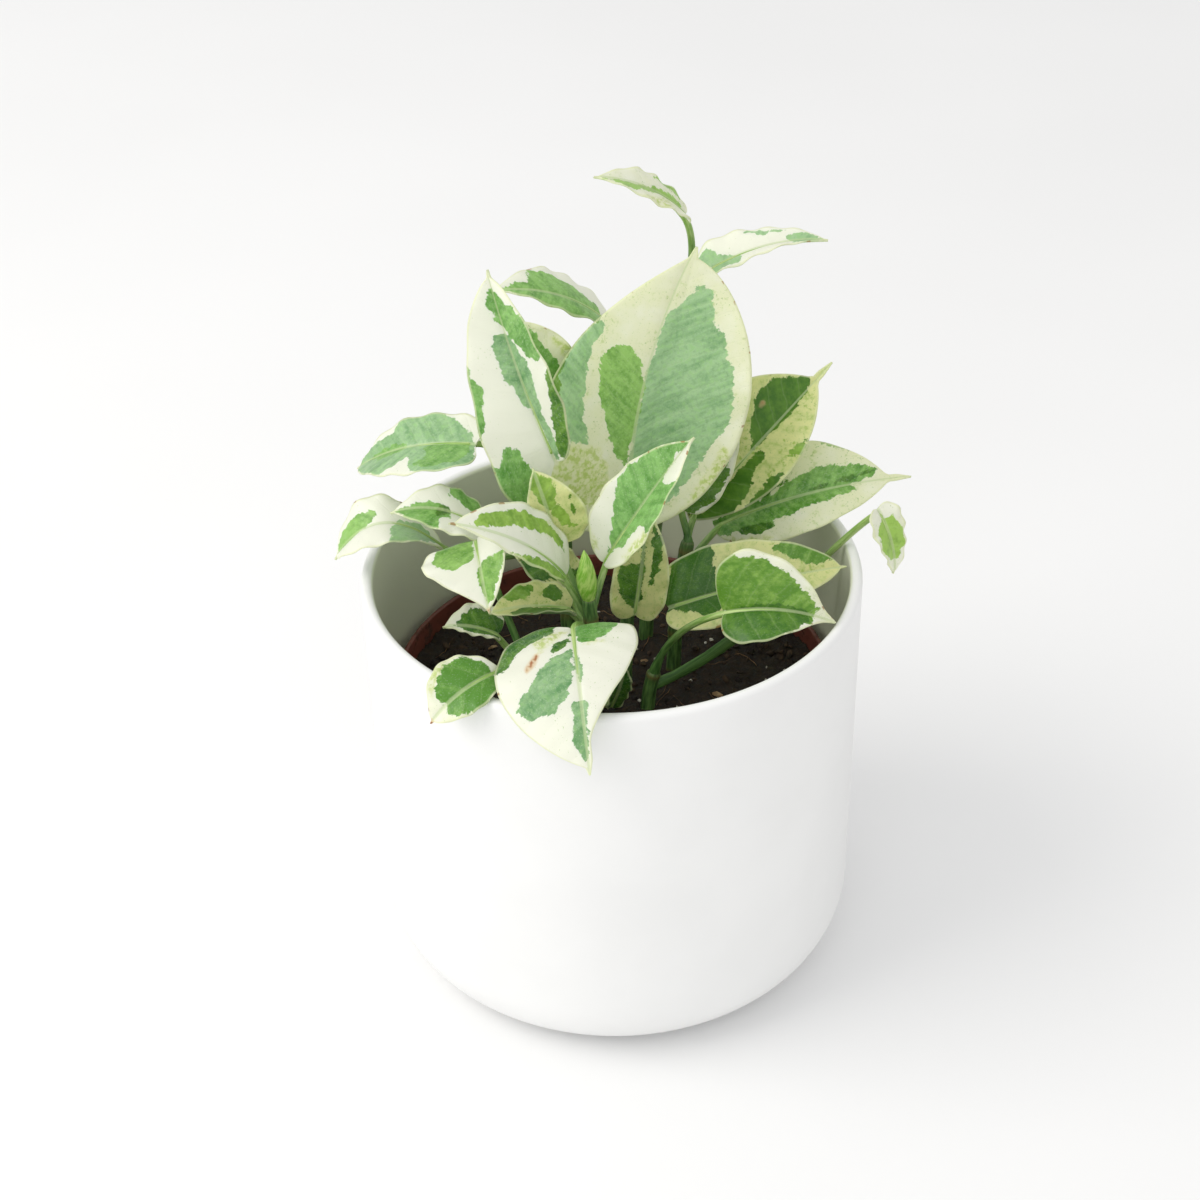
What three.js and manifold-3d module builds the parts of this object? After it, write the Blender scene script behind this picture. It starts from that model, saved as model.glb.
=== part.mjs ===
// Potted pothos plant: a white cover pot, a grower's pot inside it, soil, seven stems and their leaves.
// Millimetres, +Z up. The origin is the centre of the cover pot's flat underside, and the plant's
// showing side looks along -Y.
import * as THREE from "three";
import { mergeVertices } from "three/addons/utils/BufferGeometryUtils.js";
import Module from "manifold-3d";

const wasm = await Module();
wasm.setup();

// ---- driving dimensions ----

// Cover pot: a plain cylinder with a rounded foot and a rounded lip.
const potDiameter = 135;
const potHeight = 121.5;
const potWall = 3.3;
const potFloor = 5;
const footRadius = 20;

// Grower's pot: a tapered plastic pot that stands on the cover pot's floor. Its rim takes its
// width from the cover pot's inside and its height from the cover pot's lip.
const growerRimClearance = 3.2;
const growerRimDepth = 36.2;
const growerTaper = 17;
const growerWall = 1.4;
const growerFloor = 1.8;
const rimBandHeight = 11;
const rimBandStep = 1.8;
const rimBandSlope = 2;
const drainHoleRadius = 4;
const drainHoleCount = 8;
const drainRingInset = 13.5;

// Soil: it fills the grower's pot to a little under the rim and is heaped in the middle. Each stem
// stands in a socket in it.
const soilBelowRim = 6;
const soilCrown = 2;
const soilShoulder = 1.2;
const shoulderShare = 0.75;
const crownShare = 0.4;
const socketDepth = 15;

// Plant. The tables below hold for a pot with the inside radius plantedInside, and the whole plant
// grows with its pot. Their heights are above a datum that lies datumDepth under the soil's crown.
const plantedInside = 64.2;
const datumDepth = 1.3;
const stemRadius = 2.3;
const petioleRadius = 1.2;
const leafThickness = 0.7;
const spearRadius = 2.6;
const spearEndRadius = 1.6;
const spearLength = 16;

// Gap between two pieces that rest on each other.
const restGap = 0.3;

// Faceting.
const lathePoints = 40;
const stemSides = 6;
const stemSteps = 8;
const petioleSides = 5;
const petioleSteps = 7;
const spearSides = 8;
const leafRows = 7;
const leafColumns = 6;

// Shares of a leaf's midrib: where the blade starts and ends, how far the petiole runs under it,
// and the width that the thin tip keeps.
const bladeStart = 0.006;
const bladeEnd = 0.985;
const petioleReach = 0.06;
const tailShare = 0.1;

// ---- sizes worked out from them ----

const potRadius = potDiameter / 2;
const potInside = potRadius - potWall;
const growerBase = potFloor + restGap;
const growerRim = potHeight - growerRimDepth;
const growerRimRadius = potInside - growerRimClearance;
const growerBodyRadius = growerRimRadius - rimBandStep;
const growerFootRadius = growerBodyRadius - growerTaper;
const soilEdge = growerRim - soilBelowRim;
const soilTop = soilEdge + soilCrown;
const stemFoot = soilTop - socketDepth;
const datum = soilTop - datumDepth;
const plantScale = potInside / plantedInside;

// ---- solids ----

function toSolid(geometry) {
  geometry.deleteAttribute("normal");
  geometry.deleteAttribute("uv");
  const merged = mergeVertices(geometry, 1e-4);
  const index = merged.index.array;
  const kept = [];
  for (let i = 0; i < index.length; i += 3) {
    const [a, b, c] = [index[i], index[i + 1], index[i + 2]];
    if (a !== b && b !== c && c !== a) {
      kept.push(a, b, c);
    }
  }
  const vertProperties = new Float32Array(merged.attributes.position.array);
  const triVerts = new Uint32Array(kept);
  return new wasm.Manifold(new wasm.Mesh({ numProp: 3, vertProperties, triVerts }));
}

function toGeometry(solid) {
  const mesh = solid.getMesh();
  const geometry = new THREE.BufferGeometry();
  geometry.setAttribute("position", new THREE.BufferAttribute(new Float32Array(mesh.vertProperties), 3));
  geometry.setIndex(new THREE.BufferAttribute(new Uint32Array(mesh.triVerts), 1));
  geometry.computeVertexNormals();
  return geometry;
}

function addArc(points, centreR, centreZ, radius, fromDeg, toDeg, steps) {
  for (let i = 0; i <= steps; i++) {
    const angle = THREE.MathUtils.degToRad(fromDeg + ((toDeg - fromDeg) * i) / steps);
    points.push(new THREE.Vector2(centreR + radius * Math.cos(angle), centreZ + radius * Math.sin(angle)));
  }
}

// Turns a profile of (radius, height) points about the Z axis.
function turned(points) {
  const geometry = new THREE.LatheGeometry(points, lathePoints);
  geometry.rotateX(Math.PI / 2);
  return toSolid(geometry);
}

function tube(curve, radius, sides, steps) {
  const section = new THREE.Shape();
  for (let i = 0; i < sides; i++) {
    const angle = (2 * Math.PI * i) / sides;
    const [x, y] = [radius * Math.cos(angle), radius * Math.sin(angle)];
    if (i === 0) {
      section.moveTo(x, y);
    } else {
      section.lineTo(x, y);
    }
  }
  section.closePath();
  const options = { steps, bevelEnabled: false, extrudePath: curve };
  return toSolid(new THREE.ExtrudeGeometry(section, options));
}

// ---- cover pot, grower's pot and soil ----

function coverPot() {
  const lip = potWall / 2;
  const inner = footRadius - potWall;
  const points = [new THREE.Vector2(0, 0)];
  addArc(points, potRadius - footRadius, footRadius, footRadius, -90, 0, 6);
  addArc(points, potRadius - lip, potHeight - lip, lip, 0, 180, 4);
  addArc(points, potInside - inner, potFloor + inner, inner, 0, -90, 5);
  points.push(new THREE.Vector2(0, potFloor));
  return turned(points);
}

function growersPot() {
  const bandFoot = growerRim - rimBandHeight;
  const points = [
    [0, growerBase],
    [growerFootRadius, growerBase],
    [growerBodyRadius, bandFoot],
    [growerRimRadius, bandFoot],
    [growerRimRadius, growerRim],
    [growerRimRadius - growerWall, growerRim],
    [growerRimRadius - growerWall, bandFoot + growerWall],
    [growerBodyRadius - growerWall, bandFoot + growerWall - rimBandSlope],
    [growerFootRadius - growerWall, growerBase + growerFloor],
    [0, growerBase + growerFloor],
  ].map(([r, z]) => new THREE.Vector2(r, z));
  let pot = turned(points);
  const ring = growerFootRadius - drainRingInset;
  for (let i = 0; i < drainHoleCount; i++) {
    const angle = (2 * Math.PI * i) / drainHoleCount;
    const drill = new THREE.CylinderGeometry(drainHoleRadius, drainHoleRadius, 4 * growerFloor, 12);
    drill.rotateX(Math.PI / 2);
    drill.translate(ring * Math.cos(angle), ring * Math.sin(angle), growerBase);
    pot = pot.subtract(toSolid(drill));
  }
  return pot;
}

function soilBody(sockets) {
  const foot = growerBase + growerFloor + restGap;
  const bandFoot = growerRim - rimBandHeight;
  const edge = growerBodyRadius - growerWall - restGap;
  const points = [
    [0, foot],
    [growerFootRadius - growerWall - restGap, foot],
    [edge, bandFoot + growerWall - rimBandSlope + restGap],
    [edge, soilEdge],
    [edge * shoulderShare, soilEdge + soilShoulder],
    [edge * crownShare, soilTop],
    [0, soilTop],
  ].map(([r, z]) => new THREE.Vector2(r, z));
  let soil = turned(points);
  for (const socket of sockets) {
    soil = soil.subtract(socket);
  }
  return soil;
}

// ---- stems ----

// Each stem is one cubic curve: the place of its foot in the soil, two bends and its top.
const stems = {
  centre: { foot: [3, 1], bends: [[3, 2, 6], [4, 5, 20]], top: [5, 6, 32] },
  back: { foot: [9, 22], bends: [[10, 26, 30], [18, 42, 70]], top: [22, 39, 104] },
  left: { foot: [-12, 17], bends: [[-13, 19, 20], [-14, 23, 42]], top: [-10, 31, 62] },
  front: { foot: [-5, -10], bends: [[-5, -10, 10], [-5, -19, 28]], top: [-6, -20, 44] },
  right: { foot: [17, 9], bends: [[17, 9, 10], [18, 10, 25]], top: [21, 12, 40] },
  front_right: { foot: [9, -10], bends: [[9, -10, 4], [10, -10, 8]], top: [11, -10, 12] },
  left_front: { foot: [-20, -13], bends: [[-20, -13, 4], [-21, -14, 12]], top: [-23, -15, 19] },
};

function placed([x, y, height]) {
  return new THREE.Vector3(x, y, height).multiplyScalar(plantScale).add(new THREE.Vector3(0, 0, datum));
}

function stemCurve(stem, footHeight) {
  const foot = placed([...stem.foot, 0]).setZ(footHeight);
  return new THREE.CubicBezierCurve3(foot, placed(stem.bends[0]), placed(stem.bends[1]), placed(stem.top));
}

function stemSolid(stem) {
  return tube(stemCurve(stem, stemFoot + restGap), stemRadius, stemSides, stemSteps);
}

// The room round a stem that the soil and the petioles leave free.
function stemRoom(stem) {
  const room = tube(stemCurve(stem, stemFoot + restGap), stemRadius + restGap, stemSides, stemSteps);
  return room.add(room.translate([0, 0, -restGap]));
}

// ---- leaves ----

// A leaf is a blade on a petiole. base and tip are the two ends of the midrib, and face is the way
// its upper side looks. half gives the widths left and right of the midrib, seen from above with
// the tip ahead. lobe is how far the heart-shaped base reaches back, widest and taper shape the
// outline, drip is the share of the midrib in the thin tip, and arch lifts the midrib's middle.
// fold lifts each half from the midrib and cup curls it further towards its margin, in degrees.
// wave is the height of the margin's ripple. stem and at say where the petiole starts. leave and
// arrive are the lengths of its end tangents, and via gives its two bends where it goes round.
const leafDefaults = {
  lobe: 8, widest: 0.36, taper: 0.8, drip: 0.05, arch: 3, fold: [12, 12], cup: [0, 0], wave: 0.6,
  leave: 12, arrive: 12, via: null,
};

const leaves = {
  leaf_tall_centre: {
    stem: "centre", at: 1, base: [5, 6, 49], tip: [24, 27, 123], face: [0.1, -0.85, 0.5],
    half: [31, 24], lobe: [16, 0], widest: [0.38, 0.5], taper: [0.95, 0.65], arch: -2,
    fold: [5, 8], cup: [-35, 20], arrive: 8,
  },
  leaf_tall_left: {
    stem: "left", at: 0.6, base: [-14, 1, 74], tip: [-30, 9, 126], face: [-0.55, -0.7, 0.45],
    half: [16, 12], lobe: [22, 3], widest: [0.3, 0.45], taper: 0.7, arch: 2, fold: [34, 14],
    cup: [-10, 0], via: [[-22, 18, 46], [-23, 4, 60]],
  },
  leaf_back_left: {
    stem: "left", at: 1, base: [0, 52, 88], tip: [-31, 38, 105], face: [0, -0.2, 1],
    half: [6, 12], lobe: 6, arch: 4, fold: [0, 10], cup: [-20, -10], leave: 4, arrive: 8,
  },
  leaf_back_inner: {
    stem: "left", at: 0.8, base: [-15, 30, 69], tip: [-25, 31, 101], face: [0.1, -0.8, 0.5],
    half: [7, 12], lobe: 4, widest: 0.55, arch: 2, leave: 2,
  },
  leaf_centre_small: {
    stem: "front", at: 0.85, base: [-2, -12, 50], tip: [22, -8, 86], face: [-0.4, -0.54, 0.74],
    half: [11, 12], lobe: 0, widest: 0.42, arch: 1, fold: [30, 30], leave: 2, arrive: 3,
  },
  leaf_centre_left: {
    stem: "front", at: 0.8, base: [-12, -18, 50], tip: [-41, -30, 75], face: [-0.1, -0.4, 0.9],
    half: [5, 12], lobe: [0, 4], arch: 5, fold: [0, 10], leave: 2, arrive: 3,
  },
  leaf_left_folded: {
    stem: "left_front", at: 1, base: [-35, -14, 59], tip: [-31, -36, 51], face: [-0.1, -0.2, 1],
    half: [10, 15], lobe: 2, taper: [0.8, 1.2], arch: 4, fold: [40, 0],
  },
  leaf_left_olive: {
    stem: "front", at: 0.62, base: [-11, -14, 37], tip: [-33, -17, 38], face: [0, -0.3, 1],
    half: [8, 8], lobe: 3, arch: 2, cup: [60, 0], leave: 4, arrive: 3,
  },
  leaf_front_drooping: {
    stem: "front", at: 0.6, base: [-10, -40, 49], tip: [-6, -80, 33], face: [-0.05, -0.3, 0.95],
    half: [16, 21], lobe: 24, widest: [0.28, 0.48], taper: [2.2, 0.8], arch: 8, fold: [5, 0],
    cup: [-20, -20],
  },
  leaf_front_left: {
    stem: "left_front", at: 0.75, base: [-28, -49, 43], tip: [-46, -59, 34], face: [0, -0.5, 0.85],
    half: [7, 9], widest: 0.5, lobe: 1, arch: 5, via: [[-21, -24, 24], [-18, -40, 42]],
  },
  leaf_left_small: {
    stem: "left_front", at: 0.6, base: [-31, -10, 26], tip: [-46, -10, 29], face: [0, -0.3, 1],
    half: [3, 8], lobe: 3, arch: 2, leave: 2, arrive: 3,
  },
  leaf_centre_inner: {
    stem: "centre", at: 0.7, base: [6, -6, 29], tip: [10, -1, 61], face: [0.1, -0.9, 0.3],
    half: [8, 8], lobe: 4, arch: 2, leave: 4, arrive: 4,
  },
  leaf_right_upper: {
    stem: "right", at: 0.9, base: [22, 21, 42], tip: [61, 29, 87], face: [0, -0.75, 0.6],
    half: [18, 12], lobe: 4, widest: 0.55, drip: 0.12, arch: 2, leave: 4, arrive: 4,
  },
  leaf_right_long: {
    stem: "right", at: 0.75, base: [29, 26, 36], tip: [84, 24, 53], face: [0.1, -0.6, 0.8],
    half: [16, 12], lobe: 0, widest: 0.45, drip: 0.12, arch: 8, leave: 4, arrive: 4,
  },
  leaf_right_hanging: {
    stem: "front_right", at: 0.7, base: [71, 1, 57], tip: [76, -2, 38], face: [0.7, -0.7, 0.2],
    half: [6, 6], lobe: 3, arch: 2, via: [[38, 16, 0], [62, 12, 42]],
  },
  leaf_right_low: {
    stem: "right", at: 0.5, base: [15, -6, 31], tip: [64, -2, 41], face: [0, -0.6, 0.8],
    half: [13, 10], lobe: 4, taper: 0.7, arch: 4, leave: 3, arrive: 3,
  },
  leaf_right_front: {
    stem: "front_right", at: 1, base: [29, -27, 44], tip: [58, -30, 42], face: [0, -0.4, 0.9],
    half: [16, 10], lobe: 7, taper: [1.5, 1.5], arch: 4, fold: [50, 0],
  },
  leaf_left_upper: {
    stem: "left", at: 0.65, base: [-35, 8, 75], tip: [-69, 20, 61], face: [-0.1, -0.3, 1],
    half: [13, 10], lobe: 4, taper: 0.6, arch: 4, via: [[-26, 24, 50], [-28, 18, 73]],
  },
  leaf_left_low: {
    stem: "left", at: 0.5, base: [-45, 4, 45], tip: [-75, 2, 43], face: [-0.2, -0.3, 1],
    half: [9, 9], lobe: 0, widest: 0.6, taper: 0.6, arch: 13, via: [[-20, 24, 36], [-34, 14, 28]],
  },
  leaf_left_arched: {
    stem: "left", at: 0.45, base: [-34, -4, 56], tip: [-58, -6, 63], face: [-0.1, -0.3, 1],
    half: [9, 8], lobe: 1, arch: 5, via: [[-22, 15, 30], [-31, 7, 47]],
  },
  leaf_left_shaded: {
    stem: "front", at: 0.5, base: [-11, 3, 30], tip: [-28, 6, 44], face: [0, -0.4, 0.9],
    half: [7, 9], lobe: 3, arch: 3, leave: 5, arrive: 5,
  },
  leaf_left_pointed: {
    stem: "front", at: 0.75, base: [-14, -8, 54], tip: [-20, -7, 77], face: [0.1, -0.8, 0.5],
    half: [6, 10], lobe: 1, arch: 2, leave: 4, arrive: 6,
  },
  leaf_right_shaded: {
    stem: "right", at: 1, base: [19, 15, 50], tip: [34, 25, 81], face: [0.2, -0.8, 0.5],
    half: [8, 9], lobe: 2, arch: 2, leave: 4, arrive: 4,
  },
  sheath_front: {
    stem: "front", at: 0.25, base: [-1, -13, 3], tip: [3, -14, 19], face: [0.5, -0.8, 0.3],
    half: [3, 4], lobe: 0, arch: 1, leave: 1, arrive: 1,
  },
  leaf_top_left: {
    stem: "back", at: 1, base: [21, 33, 128], tip: [-3, 22, 144], face: [0.2, -0.3, 1],
    half: [7, 6], lobe: 2, arch: 3, leave: 8, arrive: 8,
  },
  leaf_top_right: {
    stem: "back", at: 0.85, base: [28, 40, 109], tip: [60, 44, 115], face: [0, -0.1, 1],
    half: [9, 5], lobe: 5, widest: 0.26, arch: 3, leave: 5, arrive: 4,
  },
};

// A value given once holds for both halves, and a pair is left and right.
function ofSide(value, side) {
  return Array.isArray(value) ? value[side] : value;
}

// Width of a half at the share u of the midrib, 1 at the widest. A drip tip runs on past the body.
function outline(leaf, side, u) {
  const widest = ofSide(leaf.widest, side);
  const taper = ofSide(leaf.taper, side);
  const along = Math.min(u / (1 - leaf.drip), 1);
  const rise = (taper * widest) / (1 - widest);
  const body = Math.pow(along / widest, rise) * Math.pow((1 - along) / (1 - widest), taper);
  const tail = tailShare * Math.sqrt(u) * (1 - u);
  return Math.hypot(body, tail);
}

// The leaf's lengths for the pot that carries the plant.
function sized(settings) {
  const leaf = { ...leafDefaults, ...settings };
  for (const key of ["half", "lobe", "arch", "wave", "leave", "arrive"]) {
    const given = leaf[key];
    leaf[key] = Array.isArray(given) ? given.map((value) => value * plantScale) : given * plantScale;
  }
  return leaf;
}

function leafFrame(leaf) {
  const base = placed(leaf.base);
  const along = placed(leaf.tip).sub(base);
  const length = along.length();
  along.normalize();
  const up = new THREE.Vector3(...leaf.face);
  up.addScaledVector(along, -up.dot(along)).normalize();
  const left = new THREE.Vector3().crossVectors(up, along);
  return { base, along, up, left, length };
}

function midribPoint(leaf, frame, u) {
  return frame.base.clone()
    .addScaledVector(frame.along, frame.length * u)
    .addScaledVector(frame.up, leaf.arch * 4 * u * (1 - u));
}

// A point of the blade: u runs from base to tip, v from the right margin (-1) to the left (1), and
// lift is the height above the middle of the blade's thickness.
function bladePoint(leaf, frame, u, v, lift) {
  const step = 0.01;
  const ahead = midribPoint(leaf, frame, u + step).sub(midribPoint(leaf, frame, u - step)).normalize();
  const up = frame.up.clone().addScaledVector(ahead, -frame.up.dot(ahead)).normalize();
  const left = new THREE.Vector3().crossVectors(up, ahead);
  const side = v < 0 ? 1 : 0;
  const width = outline(leaf, side, u);
  const out = Math.abs(v) * leaf.half[side] * width;
  const turn = THREE.MathUtils.degToRad(leaf.cup[side]) / leaf.half[side];
  const start = THREE.MathUtils.degToRad(leaf.fold[side]);
  const angle = start + turn * out;
  const curved = Math.abs(turn) > 1e-6;
  const across = curved ? (Math.sin(angle) - Math.sin(start)) / turn : out * Math.cos(start);
  const raised = curved ? (Math.cos(start) - Math.cos(angle)) / turn : out * Math.sin(start);
  const ripple = leaf.wave * v * v * Math.sin(9 * u + 2 * side) * width;
  const swept = ofSide(leaf.lobe, side) * Math.abs(v) * width * (1 - u) * (1 - u);
  const sign = v < 0 ? -1 : 1;
  return midribPoint(leaf, frame, u)
    .addScaledVector(left, sign * (across - lift * Math.sin(angle)))
    .addScaledVector(up, raised + ripple + lift * Math.cos(angle))
    .addScaledVector(ahead, -swept);
}

function blade(leaf, frame) {
  const box = new THREE.BoxGeometry(1, 2, leafThickness, leafRows, leafColumns, 1);
  const position = box.attributes.position;
  for (let i = 0; i < position.count; i++) {
    const eased = (1 - Math.cos(Math.PI * (position.getX(i) + 0.5))) / 2;
    const u = bladeStart + (bladeEnd - bladeStart) * eased;
    const point = bladePoint(leaf, frame, u, position.getY(i), position.getZ(i));
    position.setXYZ(i, point.x, point.y, point.z);
  }
  return toSolid(box);
}

function petioleCurve(leaf, frame) {
  const curve = stemCurve(stems[leaf.stem], stemFoot + restGap);
  const start = curve.getPoint(leaf.at);
  const rising = curve.getTangent(leaf.at);
  const joint = midribPoint(leaf, frame, petioleReach).addScaledVector(frame.up, -leafThickness / 3);
  const ahead = midribPoint(leaf, frame, 0.1).sub(midribPoint(leaf, frame, 0)).normalize();
  const leaving = start.clone().addScaledVector(rising, leaf.leave);
  const arriving = joint.clone().addScaledVector(ahead, -leaf.arrive);
  const bends = leaf.via ? leaf.via.map(placed) : [leaving, arriving];
  return new THREE.CubicBezierCurve3(start, bends[0], bends[1], joint);
}

// A rolled new leaf: a slim spindle that stands on the end of its stem.
function spearSolid(stem) {
  const curve = stemCurve(stem, stemFoot + restGap);
  const foot = curve.getPoint(1);
  const ahead = curve.getTangent(1);
  const points = [
    [0, 0],
    [spearEndRadius, 0],
    [spearRadius, spearLength * 0.35],
    [spearEndRadius, spearLength * 0.75],
    [0, spearLength],
  ].map(([r, z]) => new THREE.Vector2(r, z));
  const geometry = new THREE.LatheGeometry(points, spearSides);
  geometry.applyQuaternion(new THREE.Quaternion().setFromUnitVectors(new THREE.Vector3(0, 1, 0), ahead));
  foot.addScaledVector(ahead, restGap);
  geometry.translate(foot.x, foot.y, foot.z);
  return toSolid(geometry);
}

function leafSolid(settings) {
  const leaf = sized(settings);
  const frame = leafFrame(leaf);
  const petiole = tube(petioleCurve(leaf, frame), petioleRadius, petioleSides, petioleSteps);
  return blade(leaf, frame).add(petiole).subtract(stemRoom(stems[leaf.stem]));
}

// ---- assembly ----

const finishes = {
  ceramic: { color: 0xf4f3f1, roughness: 0.45, metalness: 0 },
  plastic: { color: 0x7c3327, roughness: 0.55, metalness: 0 },
  soil: { color: 0x2e2621, roughness: 0.95, metalness: 0 },
  stem: { color: 0x4f7a3a, roughness: 0.5, metalness: 0 },
  leaf: { color: 0x8fb77a, roughness: 0.42, metalness: 0 },
};

const plant = new THREE.Group();

function place(name, solid, finish) {
  const mesh = new THREE.Mesh(toGeometry(solid), new THREE.MeshStandardMaterial(finishes[finish]));
  mesh.name = name;
  plant.add(mesh);
}

place("cover_pot", coverPot(), "ceramic");
place("growers_pot", growersPot(), "plastic");
place("soil", soilBody(Object.values(stems).map(stemRoom)), "soil");
for (const [name, stem] of Object.entries(stems)) {
  place("stem_" + name, stemSolid(stem), "stem");
}
for (const [name, leaf] of Object.entries(leaves)) {
  place(name, leafSolid(leaf), "leaf");
}
place("leaf_spear", spearSolid(stems.front), "leaf");

export default plant;
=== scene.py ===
import functools
import math
import random

import bmesh
import bpy
from mathutils import Matrix, Vector, noise


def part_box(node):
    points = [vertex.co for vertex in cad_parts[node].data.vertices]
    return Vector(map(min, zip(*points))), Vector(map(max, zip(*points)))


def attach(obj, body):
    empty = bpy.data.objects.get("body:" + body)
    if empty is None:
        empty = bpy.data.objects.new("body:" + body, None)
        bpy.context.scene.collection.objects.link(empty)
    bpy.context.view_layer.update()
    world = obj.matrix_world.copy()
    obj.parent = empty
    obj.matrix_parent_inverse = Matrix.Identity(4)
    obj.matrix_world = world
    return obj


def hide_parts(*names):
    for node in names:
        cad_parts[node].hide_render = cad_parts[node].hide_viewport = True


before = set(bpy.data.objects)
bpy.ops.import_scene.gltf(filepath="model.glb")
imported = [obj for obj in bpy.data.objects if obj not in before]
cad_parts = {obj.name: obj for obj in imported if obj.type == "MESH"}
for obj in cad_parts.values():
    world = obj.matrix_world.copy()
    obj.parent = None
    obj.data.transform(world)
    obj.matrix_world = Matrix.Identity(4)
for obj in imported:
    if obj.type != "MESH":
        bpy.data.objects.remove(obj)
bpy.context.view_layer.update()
mm = 0.001
hub = 2 * mm  # a turned shell starts and ends with a flat disc of this radius
random.seed(11)


def linear(hexColour):
    # sRGB hex to the linear values that Blender works in
    channels = [int(hexColour[i:i + 2], 16) / 255 for i in (1, 3, 5)]
    return tuple(c / 12.92 if c <= 0.04045 else ((c + 0.055) / 1.055) ** 2.4 for c in channels) + (1.0,)


# the nodes in use: Blender's name, fixed settings, the sockets in order, and the output (None for all)
nodeKinds = {
    "plus": ("Math", {"operation": "ADD"}, (0, 1), 0),
    "minus": ("Math", {"operation": "SUBTRACT"}, (0, 1), 0),
    "times": ("Math", {"operation": "MULTIPLY"}, (0, 1), 0),
    "timesPlus": ("Math", {"operation": "MULTIPLY_ADD"}, (0, 1, 2), 0),
    "over": ("Math", {"operation": "DIVIDE"}, (0, 1), 0),
    "least": ("Math", {"operation": "MINIMUM"}, (0, 1), 0),
    "most": ("Math", {"operation": "MAXIMUM"}, (0, 1), 0),
    "positive": ("Math", {"operation": "ABSOLUTE"}, (0,), 0),
    "fraction": ("Math", {"operation": "FRACT"}, (0,), 0),
    "ramp": ("MapRange", {"interpolation_type": "SMOOTHSTEP"},
             ("Value", "From Min", "From Max", "To Min", "To Max"), 0),
    "mix": ("Mix", {"data_type": "RGBA"}, (0, 6, 7), 2),
    "noise": ("TexNoise", {}, ("Vector", "Scale", "Detail", "Roughness"), 0),
    "cells": ("TexVoronoi", {"feature": "F1"}, ("Vector", "Scale"), "Distance"),
    "place": ("TexCoord", {}, (), "Object"),
    "number": ("Attribute", {}, (), "Fac"),
    "vector": ("Attribute", {}, (), "Vector"),
    "stretch": ("Mapping", {}, ("Vector", "Scale"), 0),
    "split": ("SeparateXYZ", {}, (0,), None),
    "join": ("CombineXYZ", {}, (0, 1, 2), 0),
    "bump": ("Bump", {}, ("Height", "Strength", "Distance"), 0),
    "solid": ("BsdfPrincipled", {},
              ("Base Color", "Roughness", "Normal", "IOR", "Sheen Weight", "Sheen Roughness"), 0),
    "flesh": ("BsdfPrincipled", {},
              ("Base Color", "Roughness", "Normal", "Subsurface Weight", "Subsurface Scale"), 0),
    "glow": ("BsdfTranslucent", {}, ("Color", "Normal"), 0),
    "both": ("MixShader", {}, (0, 1, 2), 0),
    "surface": ("OutputMaterial", {}, ("Surface",), None),
}


def addNode(tree, kind, *values, **settings):
    # a value goes on its socket, and another node's output is linked to it
    blenderName, fixedSettings, sockets, output = nodeKinds[kind]
    made = tree.nodes.new("ShaderNode" + blenderName)
    for key, value in {**fixedSettings, **settings}.items():
        setattr(made, key, value)
    for socket, value in zip(sockets, values):
        if isinstance(value, bpy.types.NodeSocket):
            tree.links.new(value, made.inputs[socket])
        else:
            made.inputs[socket].default_value = value
    return made.outputs if output is None else made.outputs[output]


def startMaterial(name):
    material = bpy.data.materials.new(name)
    material.use_nodes = True
    material.node_tree.nodes.clear()
    return material, functools.partial(addNode, material.node_tree)


def newPiece(name, bm, materials, smooth=True):
    mesh = bpy.data.meshes.new(name)
    for face in bm.faces:
        face.smooth = smooth
    bm.to_mesh(mesh)
    bm.free()
    piece = bpy.data.objects.new(name, mesh)
    bpy.context.scene.collection.objects.link(piece)
    for material in materials:
        mesh.materials.append(material)
    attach(piece, "root")
    return piece


def turnedShell(bm, profile, segments):
    # the first ring of (radius, height) is carried up the profile by extruding it
    first = bmesh.ops.create_circle(bm, segments=segments, radius=profile[0][0], cap_ends=True)
    ring = first["verts"]
    bmesh.ops.translate(bm, verts=ring, vec=(0, 0, profile[0][1]))
    edges = list({e for v in ring for e in v.link_edges})
    was = profile[0]
    for r, z in profile[1:]:
        made = bmesh.ops.extrude_edge_only(bm, edges=edges)["geom"]
        ring = [g for g in made if isinstance(g, bmesh.types.BMVert)]
        edges = [g for g in made if isinstance(g, bmesh.types.BMEdge)]
        edges = [e for e in edges if e.verts[0] in ring and e.verts[1] in ring]
        bmesh.ops.scale(bm, verts=ring, vec=(r / was[0], r / was[0], 1))
        bmesh.ops.translate(bm, verts=ring, vec=(0, 0, z - was[1]))
        was = (r, z)
    bmesh.ops.contextual_create(bm, geom=edges)
    bmesh.ops.recalc_face_normals(bm, faces=bm.faces)


def arc(centreR, centreZ, radius, start, end, steps):
    angles = [math.radians(start + (end - start) * i / steps) for i in range(steps + 1)]
    return [(centreR + radius * math.cos(a), centreZ + radius * math.sin(a)) for a in angles]


def bezier(points, t):
    a, b, c, d = points
    s = 1 - t
    return a * s ** 3 + b * 3 * s * s * t + c * 3 * s * t * t + d * t ** 3


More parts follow.
